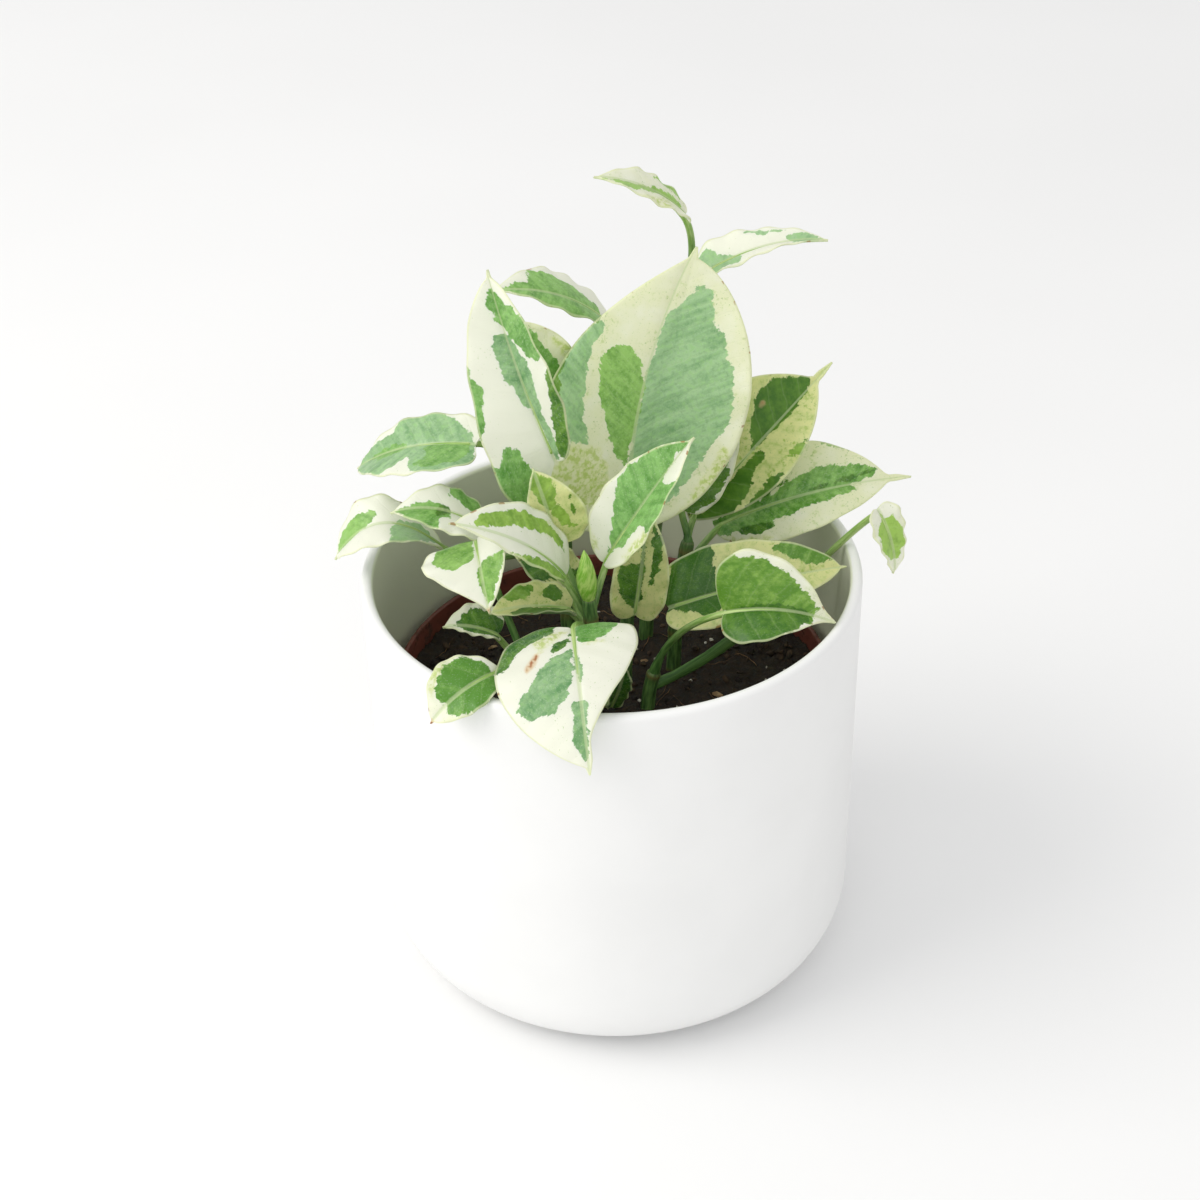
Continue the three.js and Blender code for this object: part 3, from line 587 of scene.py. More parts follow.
leaves = {
    "leaf_tall_centre": {
        "stem": "centre", "at": 1, "base": (5, 6, 49), "tip": (24, 27, 123), "face": (0.1, -0.85, 0.5),
        "half": (31, 24), "lobe": (16, 0), "widest": (0.38, 0.5), "taper": (0.95, 0.65), "arch": -2,
        "fold": (5, 8), "cup": (-35, 20), "arrive": 8, "ground": "speckled", "vein": 5, "freshAndLit": 0.75,
        "warm": 0.35, "quilt": 0.2,
        # the deep patch at the far left is painted shade where the blade curls away
        "deepAndShade": [[(0.3, 23), (0.4, 25), (0.5, 27.5), (0.6, 25.5), (0.68, 21), (0.73, 19), (0.66, 26),
            (0.55, 32), (0.4, 33), (0.25, 28)]],
        "leaf": [[(0.22, 4.5), (0.32, 5), (0.48, 4.5), (0.6, 8), (0.62, 12), (0.615, 15), (0.58, 17.5),
            (0.5, 17), (0.42, 14.5), (0.34, 11), (0.27, 8)]],
        "greyAndSheen": [[(0.02, 3), (0.3, 4.5), (0.45, 5), (0.62, 4.5), (0.76, 3), (0.8, 0), (0.87, -4),
            (0.86, -7), (0.8, -8.5), (0.74, -9.5), (0.745, -12), (0.7, -14), (0.65, -15), (0.64, -17),
            (0.58, -18), (0.52, -19.5), (0.44, -20), (0.36, -17), (0.2, -12), (0.05, -5)], [(0.3, 15),
            (0.36, 18), (0.44, 20), (0.52, 20.5), (0.62, 20), (0.69, 17.5), (0.67, 22), (0.6, 26),
            (0.5, 29), (0.4, 27), (0.32, 22)]],
        "lime": [[(0.1, 8), (0.22, 9), (0.3, 13), (0.3, 20), (0.22, 24), (0.1, 20)], [(0, -9), (0.1, -12),
            (0.25, -17), (0.36, -20), (0.3, -25), (0.1, -18)]],
    },
    "leaf_tall_left": {
        "stem": "left", "at": 0.6, "base": (-14, 1, 74), "tip": (-30, 9, 126), "face": (-0.55, -0.7, 0.45),
        "half": (16, 12), "lobe": (22, 3), "widest": (0.3, 0.45), "taper": 0.7, "arch": 2,
        "fold": (34, 14), "cup": (-10, 0), "via": [(-22, 18, 46), (-23, 4, 60)], "ground": "white",
        "freshAndLit": 0.55, "warm": 0.1,
        "deepAndShade": [[(0.04, -3), (0.2, -5), (0.35, -8), (0.5, -10), (0.56, -12.5), (0.4, -13), (0.2, -11),
            (0.05, -6)]],
        "leaf": [[(0.55, -10), (0.57, -6), (0.62, -4), (0.66, -2.5), (0.7, -0.5), (0.74, 1), (0.8, 2.5),
            (0.88, 2.5), (0.9, 0), (0.84, -3), (0.8, -6), (0.74, -9), (0.66, -12)], [(0.36, 17),
            (0.4, 13.5), (0.48, 11.5), (0.52, 11), (0.58, 12.5), (0.66, 12), (0.6, 16)], [(0.05, 5),
            (0.2, 7.5), (0.27, 9), (0.28, 11), (0.26, 14), (0.3, 17), (0.1, 17), (0, 9)]],
        "greyAndSheen": [[(0.02, -0.5), (0.15, -0.8), (0.35, 1.5), (0.55, 4.5), (0.66, 4.5), (0.7, 2.5), (0.69, 0),
            (0.66, -1.5), (0.6, -3.5), (0.5, -5), (0.4, -4.5), (0.3, -3.5), (0.15, -4), (0.02, -2)]],
    },
    "leaf_back_left": {
        "stem": "left", "at": 1, "base": (0, 52, 88), "tip": (-31, 38, 105), "face": (0, -0.2, 1),
        "half": (6, 12), "lobe": 6, "arch": 4, "fold": (0, 10), "cup": (-20, -10), "leave": 4, "arrive": 8,
        "ground": "white", "freshAndLit": 0.8, "warm": 0.2,
        "leaf": [[(0.02, 4), (0.2, 7), (0.4, 7), (0.7, 5), (0.95, 0), (0.8, -3), (0.72, -2.5), (0.7, -5.5),
            (0.72, -7.5), (0.5, -8), (0.35, -6.5), (0.2, -4), (0.08, -1)]],
    },
    "leaf_back_inner": {
        "stem": "left", "at": 0.8, "base": (-15, 30, 69), "tip": (-25, 31, 101), "face": (0.1, -0.8, 0.5),
        "half": (7, 12), "lobe": 4, "widest": 0.55, "arch": 2, "leave": 2, "ground": "speckled",
        "freshAndLit": 0.5, "warm": 0.2,
        "leaf": [[(0.1, -4), (0.3, -5), (0.5, -7), (0.7, -5), (0.85, -3), (0.8, 0), (0.5, 2), (0.2, 1),
            (0.05, -1)]],
        "lime": [[(0.4, -9), (0.6, -9), (0.8, -6), (0.6, -13), (0.4, -13)]],
    },
    "leaf_centre_small": {
        "stem": "front", "at": 0.85, "base": (-2, -12, 50), "tip": (22, -8, 86),
        "face": (-0.4, -0.54, 0.74), "half": (11, 12), "lobe": 0, "widest": 0.42, "arch": 1,
        "fold": (30, 30), "leave": 2, "arrive": 3, "ground": "white", "freshAndLit": 0.75, "warm": 0.05,
        "leaf": [[(0.08, 0.5), (0.25, 4), (0.4, 7), (0.5, 9.5), (0.6, 9), (0.75, 7), (0.9, 3), (0.96, 0),
            (0.85, 0.5), (0.7, 0), (0.68, -3), (0.7, -6), (0.8, -7), (0.66, -11), (0.5, -13), (0.42, -10),
            (0.4, -6), (0.3, -5), (0.2, -4), (0.12, -1.5)]],
        "lime": [[(0, 3), (0.1, 5), (0.14, 8), (0.05, 9)], [(0.18, -7.5), (0.3, -9), (0.4, -9.5),
            (0.42, -13), (0.2, -12)]],
    },
    "leaf_centre_left": {
        "stem": "front", "at": 0.8, "base": (-12, -18, 50), "tip": (-41, -30, 75),
        "face": (-0.1, -0.4, 0.9), "half": (5, 12), "lobe": (0, 4), "arch": 5, "fold": (0, 10), "leave": 2,
        "arrive": 3, "ground": "white", "freshAndLit": 0.65, "warm": 0.85,
        # the second leaf patch, at the upper left, is painted shade
        "leaf": [[(0.08, -5), (0.28, -6.5), (0.38, -5), (0.55, -4), (0.7, -1), (0.86, -0.5), (0.8, -4),
            (0.6, -7.5), (0.4, -9.5), (0.2, -9)], [(0, 0.5), (0.2, 1.5), (0.4, 3), (0.6, 4), (0.4, 6),
            (0.1, 6)]],
        "lime": [[(0.2, -6), (0.34, -6), (0.4, -8), (0.3, -10), (0.18, -9)]],
    },
    "leaf_left_folded": {
        "stem": "left_front", "at": 1, "base": (-35, -14, 59), "tip": (-31, -36, 51),
        "face": (-0.1, -0.2, 1), "half": (10, 15), "lobe": 2, "taper": (0.8, 1.2), "arch": 4,
        "fold": (40, 0), "ground": "white", "freshAndLit": 0.6, "warm": 0.4,
        "leaf": [[(0.44, 2), (0.5, 9.5), (0.6, 8), (0.75, 5), (0.92, 0.5), (0.8, -0.5), (0.62, -1),
            (0.48, -0.8)], [(0.02, -1), (0.2, -0.8), (0.4, -2.5), (0.47, -6), (0.45, -9), (0.36, -12),
            (0.22, -11.5), (0.08, -9), (0.02, -5)]],
        "spot": [[(0.93, 0.6), (0.97, 0.4), (1, 0), (0.95, -0.8)]],
    },
    "leaf_left_olive": {
        "stem": "front", "at": 0.62, "base": (-11, -14, 37), "tip": (-33, -17, 38), "face": (0, -0.3, 1),
        "half": (8, 8), "lobe": 3, "arch": 2, "cup": (60, 0), "leave": 4, "arrive": 3, "ground": "lime",
        "freshAndLit": 0.45, "warm": 0.7,
        "deepAndShade": [[(0.05, 1), (0.3, 0.5), (0.6, 0.5), (0.75, 3), (0.6, 9), (0.2, 9), (0.02, 4)],
            [(0.15, -2), (0.35, -3), (0.3, -7), (0.12, -5)]],
        "leaf": [[(0.5, -3), (0.7, -2), (0.8, -4), (0.6, -6.5), (0.45, -6)]],
    },
    "leaf_front_drooping": {
        "stem": "front", "at": 0.6, "base": (-10, -40, 49), "tip": (-6, -80, 33),
        "face": (-0.05, -0.3, 0.95), "half": (16, 21), "lobe": (10, 17), "widest": (0.28, 0.48),
        "taper": (2.2, 0.8), "arch": 8, "fold": (5, 0), "cup": (-20, -20), "ground": "white", "freshAndLit": 0.4,
        "warm": 0.05, "quilt": 0.25,
        "deepAndShade": [[(-0.05, -2), (0.06, -4), (0.14, -7), (0.2, -10), (0.25, -13), (0.32, -15), (0.42, -18),
            (0.44, -24), (0.3, -24), (0, -18)], [(0.08, -0.5), (0.16, -1), (0.22, -2.5), (0.28, -5),
            (0.3, -7), (0.24, -6), (0.16, -3)]],
        "leaf": [[(0, 15), (0.1, 12), (0.2, 9), (0.23, 5), (0.2, 1.5), (0.1, 0.4), (0, 0)]],
        "greyAndSheen": [[(0.2, -0.4), (0.35, -1.5), (0.5, -2), (0.58, -3.5), (0.66, -6), (0.68, -8), (0.69, -11),
            (0.7, -14), (0.66, -16), (0.58, -14.5), (0.52, -12), (0.46, -10.5), (0.38, -8), (0.32, -5.5),
            (0.26, -2.6)], [(0.28, 0.2), (0.36, 1), (0.44, 1.6), (0.5, 0.5), (0.42, -0.5), (0.3, -0.5)],
            [(0.6, 0.5), (0.62, 1.5), (0.72, 1), (0.85, 0.5), (0.93, -0.5), (0.85, -2.5), (0.72, -3),
            (0.6, -1.8)]],
        "lime": [[(0.08, -2), (0.16, -4), (0.24, -7), (0.3, -9), (0.22, -10.5), (0.1, -7.5)], [(0.18, 3),
            (0.22, 6), (0.25, 7), (0.22, 2)]],
        "spot": [[(0.29, -8.8), (0.34, -9.3), (0.4, -11), (0.44, -12.8), (0.4, -12.8), (0.34, -11.2),
            (0.3, -10)]],
    },
    "leaf_front_left": {
        "stem": "left_front", "at": 0.75, "base": (-28, -49, 43), "tip": (-46, -59, 34),
        "face": (0, -0.5, 0.85), "half": (7, 9), "widest": 0.5, "lobe": 1, "arch": 5,
        "via": [(-21, -24, 24), (-18, -40, 42)], "ground": "cream", "freshAndLit": 0.05, "warm": 0.4, "quilt": 0.3,
        "leaf": [[(0.1, 0), (0.22, 5.5), (0.4, 7.5), (0.55, 7), (0.7, 4.5), (0.78, 2), (0.74, 0),
            (0.77, -3), (0.64, -6), (0.5, -8), (0.3, -7.5), (0.16, -4)]],
        "lime": [[(0.5, -7), (0.7, -5), (0.8, -3), (0.7, -9), (0.5, -10)]],
        "spot": [[(0.94, 1), (1, 0.6), (1, -0.8), (0.95, -1)]],
    },
    "leaf_left_small": {
        "stem": "left_front", "at": 0.6, "base": (-31, -10, 26), "tip": (-46, -10, 29),
        "face": (0, -0.3, 1), "half": (3, 8), "lobe": 3, "arch": 2, "leave": 2, "arrive": 3,
        "ground": "cream", "freshAndLit": 0.25, "warm": 0.3,
        "deepAndShade": [[(0, 1), (0.3, 2.4), (0.6, 2), (0.8, 0), (0.7, -3), (0.45, -6), (0.2, -6), (0, -3)]],
    },
    "leaf_centre_inner": {
        "stem": "centre", "at": 0.7, "base": (6, -6, 29), "tip": (10, -1, 61), "face": (0.1, -0.9, 0.3),
        "half": (8, 8), "lobe": 4, "arch": 2, "leave": 4, "arrive": 4, "ground": "lime", "freshAndLit": 0.5,
        "warm": 0.3,
        "deepAndShade": [[(0.1, 0.5), (0.2, 3.5), (0.34, 6), (0.48, 6.5), (0.52, 3), (0.5, 1), (0.7, 0.5),
            (0.6, -1), (0.4, -1), (0.2, -1.5)], [(0.3, -2), (0.5, -3), (0.62, -2.5), (0.85, -2),
            (0.75, -5), (0.6, -5), (0.5, -4.3), (0.35, -4)]],
    },
    "leaf_right_upper": {
        "stem": "right", "at": 0.9, "base": (22, 21, 42), "tip": (61, 29, 87), "face": (0, -0.75, 0.6),
        "half": (18, 12), "lobe": 4, "widest": 0.55, "drip": 0.12, "arch": 2, "leave": 4, "arrive": 4,
        "ground": "lime", "freshAndLit": 0.3, "warm": 0.9,
        "deepAndShade": [[(0.45, 0.2), (0.5, 3), (0.56, 5.5), (0.62, 8), (0.66, 9.5), (0.74, 9.5), (0.8, 7),
            (0.88, 2), (0.84, 0), (0.75, -1.2), (0.6, -1), (0.5, -0.6)], [(0, -0.5), (0.2, -1.6),
            (0.4, -1), (0.48, -2), (0.49, -4.5), (0.4, -4), (0.36, -6), (0.3, -8), (0.2, -8), (0.08, -5)],
            [(0.26, -9), (0.45, -9.2), (0.5, -10.5), (0.4, -13), (0.25, -13)], [(0, 1), (0.2, 3), (0.3, 8),
            (0.25, 14), (0.1, 9)]],
        "leaf": [[(0.56, -8.5), (0.66, -8.5), (0.68, -10), (0.6, -11)], [(0.4, 17), (0.5, 15), (0.6, 15.5),
            (0.5, 20)]],
        "spot": [[(0.625, 6.4), (0.635, 7.2), (0.655, 7.4), (0.665, 6.6), (0.65, 5.8), (0.635, 5.8)]],
    },
    "leaf_right_long": {
        "stem": "right", "at": 0.75, "base": (29, 26, 36), "tip": (84, 24, 53), "face": (0.1, -0.6, 0.8),
        "half": (16, 12), "lobe": 0, "widest": 0.45, "drip": 0.12, "arch": 8, "leave": 4, "arrive": 4,
        "ground": "speckled", "freshAndLit": 0.4, "warm": 0.3, "quilt": 0.18,
        "deepAndShade": [[(0.12, -4), (0.3, -5), (0.31, -7), (0.24, -8.2), (0.15, -6)], [(0.04, 1.5), (0.3, 2.6),
            (0.42, 5), (0.3, 4), (0.1, 3)], [(0.5, 0.8), (0.72, 1.2), (0.84, 3.2), (0.7, 2.4)]],
        "leaf": [[(0, 2), (0.2, 2), (0.35, 3), (0.45, 5.5), (0.6, 6.5), (0.75, 5), (0.85, 3.5), (0.8, 1),
            (0.7, 0), (0.72, -2), (0.62, -3), (0.5, -4), (0.4, -5), (0.31, -5), (0.31, -7), (0.25, -8),
            (0.15, -5), (0, -3)], [(0.56, 14.5), (0.62, 12.5), (0.72, 9.5), (0.82, 7.5), (0.8, 11),
            (0.66, 16)]],
        "lime": [[(0, -4), (0.15, -7), (0.3, -10), (0.2, -12), (0, -8)]],
    },
    "leaf_right_hanging": {
        "stem": "front_right", "at": 0.7, "base": (71, 1, 57), "tip": (76, -2, 38),
        "face": (0.7, -0.7, 0.2), "half": (6, 6), "lobe": 3, "arch": 2, "via": [(38, 16, 0), (62, 12, 42)],
        "ground": "cream", "sheath": (0.08, 0.55, 2.4), "freshAndLit": 1, "warm": 0.8,
        "leaf": [[(0.12, -1), (0.2, 3), (0.4, 4.5), (0.6, 4), (0.75, 1), (0.7, -3), (0.5, -5), (0.25, -4.5)]],
    },
    "leaf_right_low": {
        "stem": "right", "at": 0.5, "base": (15, -6, 31), "tip": (64, -2, 41), "face": (0, -0.6, 0.8),
        "half": (13, 10), "lobe": 4, "taper": 0.7, "arch": 4, "leave": 3, "arrive": 3, "ground": "lime",
        "freshAndLit": 0.05, "warm": 0.6, "quilt": 0.2,
        "deepAndShade": [[(0, 2), (0.08, 6), (0.14, 11), (0.2, 15), (0.34, 14), (0.36, 10), (0.32, 8), (0.3, 2),
            (0.32, -4), (0.26, -7), (0.15, -3), (0, -1)]],
        "leaf": [[(0.6, 8.5), (0.68, 10), (0.8, 8), (0.92, 3), (0.84, 1.5), (0.78, 2.5), (0.7, 5)],
            [(0.36, 1), (0.5, 2), (0.6, -1), (0.55, -6), (0.4, -8), (0.34, -4)]],
    },
    "leaf_right_front": {
        "stem": "front_right", "at": 1, "base": (29, -27, 44), "tip": (58, -30, 42),
        "face": (0, -0.4, 0.9), "half": (16, 10), "lobe": 7, "taper": (1.5, 1.5), "arch": 4,
        "fold": (50, 0), "ground": "cream", "freshAndLit": 0.2, "warm": 0.7, "quilt": 0.3,
        "deepAndShade": [[(0, 0), (0.2, 1), (0.5, 1.8), (0.7, 1.2), (0.78, 0.4), (0.74, -2), (0.66, -5),
            (0.52, -9), (0.34, -12), (0.15, -11), (0, -6)]],
        "leaf": [[(0, 1), (0.03, 7), (0.08, 12), (0.16, 15), (0.4, 14), (0.5, 11.2), (0.6, 8.2),
            (0.7, 4.8), (0.8, 2.2), (0.76, -3), (0.5, -4), (0.3, -4), (0.1, -3)]],
    },
    "leaf_left_upper": {
        "stem": "left", "at": 0.65, "base": (-35, 8, 75), "tip": (-69, 20, 61), "face": (-0.1, -0.3, 1),
        "half": (13, 10), "lobe": 4, "taper": 0.6, "arch": 4, "via": [(-26, 24, 50), (-28, 18, 73)],
        "ground": "white", "freshAndLit": 0.7, "warm": 0.2,
        "leaf": [[(0.04, -0.5), (0.3, 0.6), (0.36, 2), (0.3, 6), (0.4, 9), (0.3, 11), (0.15, 9),
            (0.05, 5)], [(0.5, -1), (0.7, -1.5), (0.85, 0), (0.7, 3), (0.55, 2)]],
        "greyAndSheen": [[(0, 0), (0.02, 7), (0.1, 12), (0.2, 14), (0.36, 13.5), (0.42, 10), (0.44, 6.5),
            (0.47, 5.5), (0.55, 8), (0.65, 10), (0.8, 8), (0.93, 3), (0.95, 0), (0.85, -4), (0.75, -4.5),
            (0.64, -6), (0.6, -8.5), (0.5, -9.5), (0.4, -11), (0.3, -9.4), (0.2, -7), (0.1, -4)]],
    },
    "leaf_left_low": {
        "stem": "left", "at": 0.5, "base": (-45, 4, 45), "tip": (-75, 2, 43), "face": (-0.2, -0.3, 1),
        "half": (9, 9), "lobe": 0, "widest": 0.6, "taper": 0.6, "arch": 13,
        "via": [(-20, 24, 36), (-34, 14, 28)], "ground": "white", "freshAndLit": 0.9, "warm": 0.3,
        "leaf": [[(0.6, -1), (0.75, 1), (0.93, 1), (0.9, -3), (0.7, -5), (0.55, -4)]],
        "greyAndSheen": [[(0.03, 0), (0.15, 3.5), (0.3, 7), (0.44, 9), (0.44, 3), (0.36, -1.5), (0.2, -2)]],
    },
    "leaf_left_arched": {
        "stem": "left", "at": 0.45, "base": (-34, -4, 56), "tip": (-58, -6, 63), "face": (-0.1, -0.3, 1),
        "half": (9, 8), "lobe": 1, "arch": 5, "via": [(-22, 15, 30), (-31, 7, 47)], "ground": "white",
        "freshAndLit": 0.6, "warm": 0.2,
        "deepAndShade": [[(0.38, 0), (0.44, 2.6), (0.52, 3), (0.56, 0.5), (0.5, -1.2), (0.42, -1.2)]],
        "leaf": [[(0.4, 3), (0.5, 4), (0.52, 8), (0.66, 8), (0.8, 5), (0.96, 0), (0.8, -1), (0.66, -0.8),
            (0.62, -2), (0.5, -1.5), (0.38, 0)], [(0.1, -5), (0.2, -3), (0.3, -3.5), (0.44, -5), (0.4, -9),
            (0.2, -9)]],
    },
    "leaf_left_shaded": {
        "stem": "front", "at": 0.5, "base": (-11, 3, 30), "tip": (-28, 6, 44), "face": (0, -0.4, 0.9),
        "half": (7, 9), "lobe": 3, "arch": 3, "leave": 5, "arrive": 5, "ground": "lime", "freshAndLit": 0.3,
        "warm": 0.4,
        # these deep patches are painted shade where the leaf sits behind the others
        "deepAndShade": [[(0.3, 1), (0.45, 4), (0.6, 6.5), (0.85, 3.5), (0.7, 1), (0.5, 0.5)], [(0, -0.5),
            (0.15, -1), (0.25, -4), (0.2, -7), (0.02, -4)], [(0.4, -2), (0.7, -2), (0.6, -7), (0.4, -6)]],
    },
    "leaf_left_pointed": {
        "stem": "front", "at": 0.75, "base": (-14, -8, 54), "tip": (-20, -7, 77), "face": (0.1, -0.8, 0.5),
        "half": (6, 10), "lobe": 1, "arch": 2, "leave": 4, "arrive": 6, "ground": "lime", "freshAndLit": 0.7,
        "warm": 0.9,
        "deepAndShade": [[(0.3, -6.2), (0.45, -6), (0.6, -7), (0.5, -7.2), (0.36, -7)]],
        "leaf": [[(0.2, -4), (0.4, -1), (0.6, 1), (0.8, 2.4), (0.95, 0), (0.8, -4), (0.6, -2.8),
            (0.4, -4.6), (0.22, -6)]],
    },
    "leaf_right_shaded": {
        "stem": "right", "at": 1, "base": (19, 15, 50), "tip": (34, 25, 81), "face": (0.2, -0.8, 0.5),
        "half": (8, 9), "lobe": 2, "arch": 2, "leave": 4, "arrive": 4, "ground": "cream", "freshAndLit": 0.6,
        "warm": 0.5,
        # the deep patch over nearly all of this leaf is painted shade from the leaf in front
        "deepAndShade": [[(0, -1), (0.1, 3), (0.3, 7.5), (0.6, 7.5), (0.85, 4), (0.95, 0), (0.8, -4), (0.66, -5.6),
            (0.5, -5.8), (0.42, -8), (0.2, -7.5), (0.03, -4)]],
    },
    "sheath_front": {
        "stem": "front", "at": 0.25, "base": (-1, -13, 3), "tip": (3, -14, 19), "face": (0.5, -0.8, 0.3),
        "half": (3, 4), "lobe": 0, "arch": 1, "leave": 1, "arrive": 1, "ground": "lime", "freshAndLit": 0.1,
        "warm": 0.2,
        "deepAndShade": [[(-0.1, -9), (-0.1, 9), (1.1, 9), (1.1, -9)]],
    },
    "leaf_top_left": {
        "stem": "back", "at": 1, "base": (21, 33, 128), "tip": (-3, 22, 144), "face": (0.2, -0.3, 1),
        "half": (7, 6), "lobe": 2, "arch": 3, "leave": 8, "arrive": 8, "ground": "cream", "freshAndLit": 1,
        "warm": 0.6,
        "leaf": [[(0.08, -1), (0.25, -2), (0.45, -1.5), (0.6, 0.4), (0.78, 0.4), (0.93, 0.8), (0.8, 3),
            (0.66, 4.2), (0.6, 2.4), (0.45, 1.6), (0.35, 0.4), (0.15, 0.2)], [(0.12, -3), (0.3, -4.4),
            (0.46, -4.2), (0.34, -6.5), (0.15, -6)]],
        "lime": [[(0.3, 2), (0.5, 4), (0.62, 6), (0.4, 7), (0.3, 5)]],
    },
    "leaf_top_right": {
        "stem": "back", "at": 0.85, "base": (28, 40, 109), "tip": (60, 44, 115), "face": (0, -0.1, 1),
        "half": (9, 5), "lobe": 5, "widest": 0.26, "arch": 3, "leave": 5, "arrive": 4, "ground": "white",
        "freshAndLit": 0.9, "warm": 0.4,
        "greyAndSheen": [[(0, 2), (0.02, 6), (0.12, 7), (0.14, 3), (0.3, -2), (0.3, -4), (0.1, -5)], [(0.42, 8.5),
            (0.5, 6), (0.68, 4.5), (0.6, 4), (0.48, 4.6), (0.4, 7)], [(0.66, 2), (0.8, 2.6), (0.94, 0),
            (0.85, -2.4), (0.7, -2)]],
    },
}

grounds = {"white": 0.0, "cream": 0.35, "speckled": 0.6, "lime": 1.0}


def ofSide(value, side):
    return value[side] if isinstance(value, (tuple, list)) else value


def outline(leaf, side, u):
    widest, taper = ofSide(leaf["widest"], side), ofSide(leaf["taper"], side)
    along = min(u / (1 - leaf["drip"]), 1)
    rise = taper * widest / (1 - widest)
    body = (along / widest) ** rise * ((1 - along) / (1 - widest)) ** taper
    tail = leafShape["tail"] * math.sqrt(u) * (1 - u)
    if u > 0.8:  # the drip tip stays a few tenths of a millimetre wider than in the solid
        tail += (1 - u) * min(1, (u - 0.8) / 0.12) * leafShape["tipWidth"]
    return math.hypot(body, tail)


def leafFrame(leaf):
    base = placed(leaf["base"])
    along = placed(leaf["tip"]) - base
    length = along.length
    along.normalize()
    face = Vector(leaf["face"])
    face = (face - along * face.dot(along)).normalized()
    return {"base": base, "along": along, "up": face, "left": face.cross(along), "length": length}


def midribPoint(leaf, axes, u):
    arch = axes["up"] * leaf["arch"] * 4 * u * (1 - u) * mm
    return axes["base"] + axes["along"] * axes["length"] * u + arch


def bladePoint(leaf, axes, u, v, lift):
    forward = (midribPoint(leaf, axes, u + 0.01) - midribPoint(leaf, axes, u - 0.01)).normalized()
    face = (axes["up"] - forward * axes["up"].dot(forward)).normalized()
    left = face.cross(forward)
    side = 1 if v < 0 else 0
    width = outline(leaf, side, u)
    out = abs(v) * leaf["half"][side] * width
    turn = math.radians(leaf["cup"][side]) / leaf["half"][side]
    start = math.radians(leaf["fold"][side])
    angle = start + turn * out
    if abs(turn) > 1e-6:
        across = (math.sin(angle) - math.sin(start)) / turn
        raised = (math.cos(start) - math.cos(angle)) / turn
    else:
        across, raised = out * math.cos(start), out * math.sin(start)
    ripple = leaf["wave"] * v * v * math.sin(9 * u + 2 * side) * width
    ripple += leafShape["crimp"] * v ** 4 * math.sin(31 * u + 5 * side + leaf["arch"]) * width
    swept = ofSide(leaf["lobe"], side) * abs(v) * width * (1 - u) ** 2
    sign = -1 if v < 0 else 1
    point = midribPoint(leaf, axes, u) + left * sign * (across * mm - lift * math.sin(angle))
    point += face * ((raised + ripple) * mm + lift * math.cos(angle))
    return point - forward * swept * mm, out * sign


def edgeDistance(x, y, corners):
    # distance in mm to a patch's outline, positive inside
    inside, best = False, 1e9
    count = len(corners)
    for i in range(count):
        ax, ay = corners[i]
        bx, by = corners[(i + 1) % count]
        dx, dy = bx - ax, by - ay
        t = max(0.0, min(1.0, ((x - ax) * dx + (y - ay) * dy) / (dx * dx + dy * dy + 1e-9)))
        best = min(best, (x - ax - t * dx) ** 2 + (y - ay - t * dy) ** 2)
        if (ay > y) != (by > y) and x < dx * (y - ay) / (by - ay) + ax:
            inside = not inside
    return math.sqrt(best) if inside else -math.sqrt(best)


# the deep tone is dark green, and on some leaves painted shade
# the grey tone is grey-green, partly painted sheen
tones = ("deepAndShade", "leaf", "greyAndSheen", "lime", "spot")


def bladeSide(bm, leaf, axes, layers, under, seed, memory):
    s = leafShape
    grid = bmesh.ops.create_grid(bm, x_segments=s["rows"], y_segments=s["columns"], size=1)
    length = axes["length"] / mm
    for vert in grid["verts"]:
        eased = (1 - math.cos(math.pi * (vert.co.x + 1) / 2)) / 2
        u = s["start"] + (s["end"] - s["start"]) * eased
        v = math.copysign(abs(vert.co.y) ** s["crowding"], vert.co.y)
        key = (round(u, 5), round(v, 5))
        edge = 1 - s["marginThinning"] * abs(v) ** 8  # the margin thins out
        lift = s["thickness"] / 2 * edge
        _, out = bladePoint(leaf, axes, u, v, 0)
        x, rib = u * length, out - leaf["vein"] * 4 * u * (1 - u)
        reach = 1 - u
        groove = s["groove"] * math.exp(-(rib / s["grooveWidth"]) ** 2) * (0.35 + 0.65 * reach)
        phase = (x - abs(rib) * s["veinSlant"]) / s["veinEvery"] + (0.37 if rib > 0 else 0)
        swell = leaf["quilt"] * math.sin(math.pi * phase) ** 2 * edge
        swell *= min(1, abs(rib) / 3) * min(1, length / 40)
        if under:
            lift = -lift - 1.6 * groove * mm + swell * 0.8 * mm
        else:
            lift = lift - groove * mm + swell * mm
        vert.co, _ = bladePoint(leaf, axes, u, v, lift)
        if key not in memory:
            found = []
            for tone in tones:
                far = -s["patchReach"]
                for patch in leaf[tone]:
                    corners = [(a * length, b) for a, b in patch]
                    far = max(far, edgeDistance(x, out, corners))
                found.append(max(-s["patchReach"], min(s["patchReach"], far)))
            memory[key] = found
        for tone, value in zip(tones, memory[key]):
            vert[layers[tone]] = value
        vert[layers["flat"]] = (x, out, seed * s["seedStep"])
        vert[layers["rib"]] = rib
        vert[layers["under"]] = 1.0 if under else 0.0
        vert[layers["ground"]] = grounds[leaf["ground"]]
        vert[layers["tint"]] = (leaf["freshAndLit"], leaf["warm"], 0)
        width = outline(leaf, 1 if v < 0 else 0, u)
        vert[layers["margin"]] = (1 - abs(v)) * leaf["half"][1 if v < 0 else 0] * width
    faces = list({f for v in grid["verts"] for f in v.link_faces})
    if under:
        bmesh.ops.reverse_faces(bm, faces=faces)
    return [e for e in {e for f in faces for e in f.edges} if e.is_boundary]


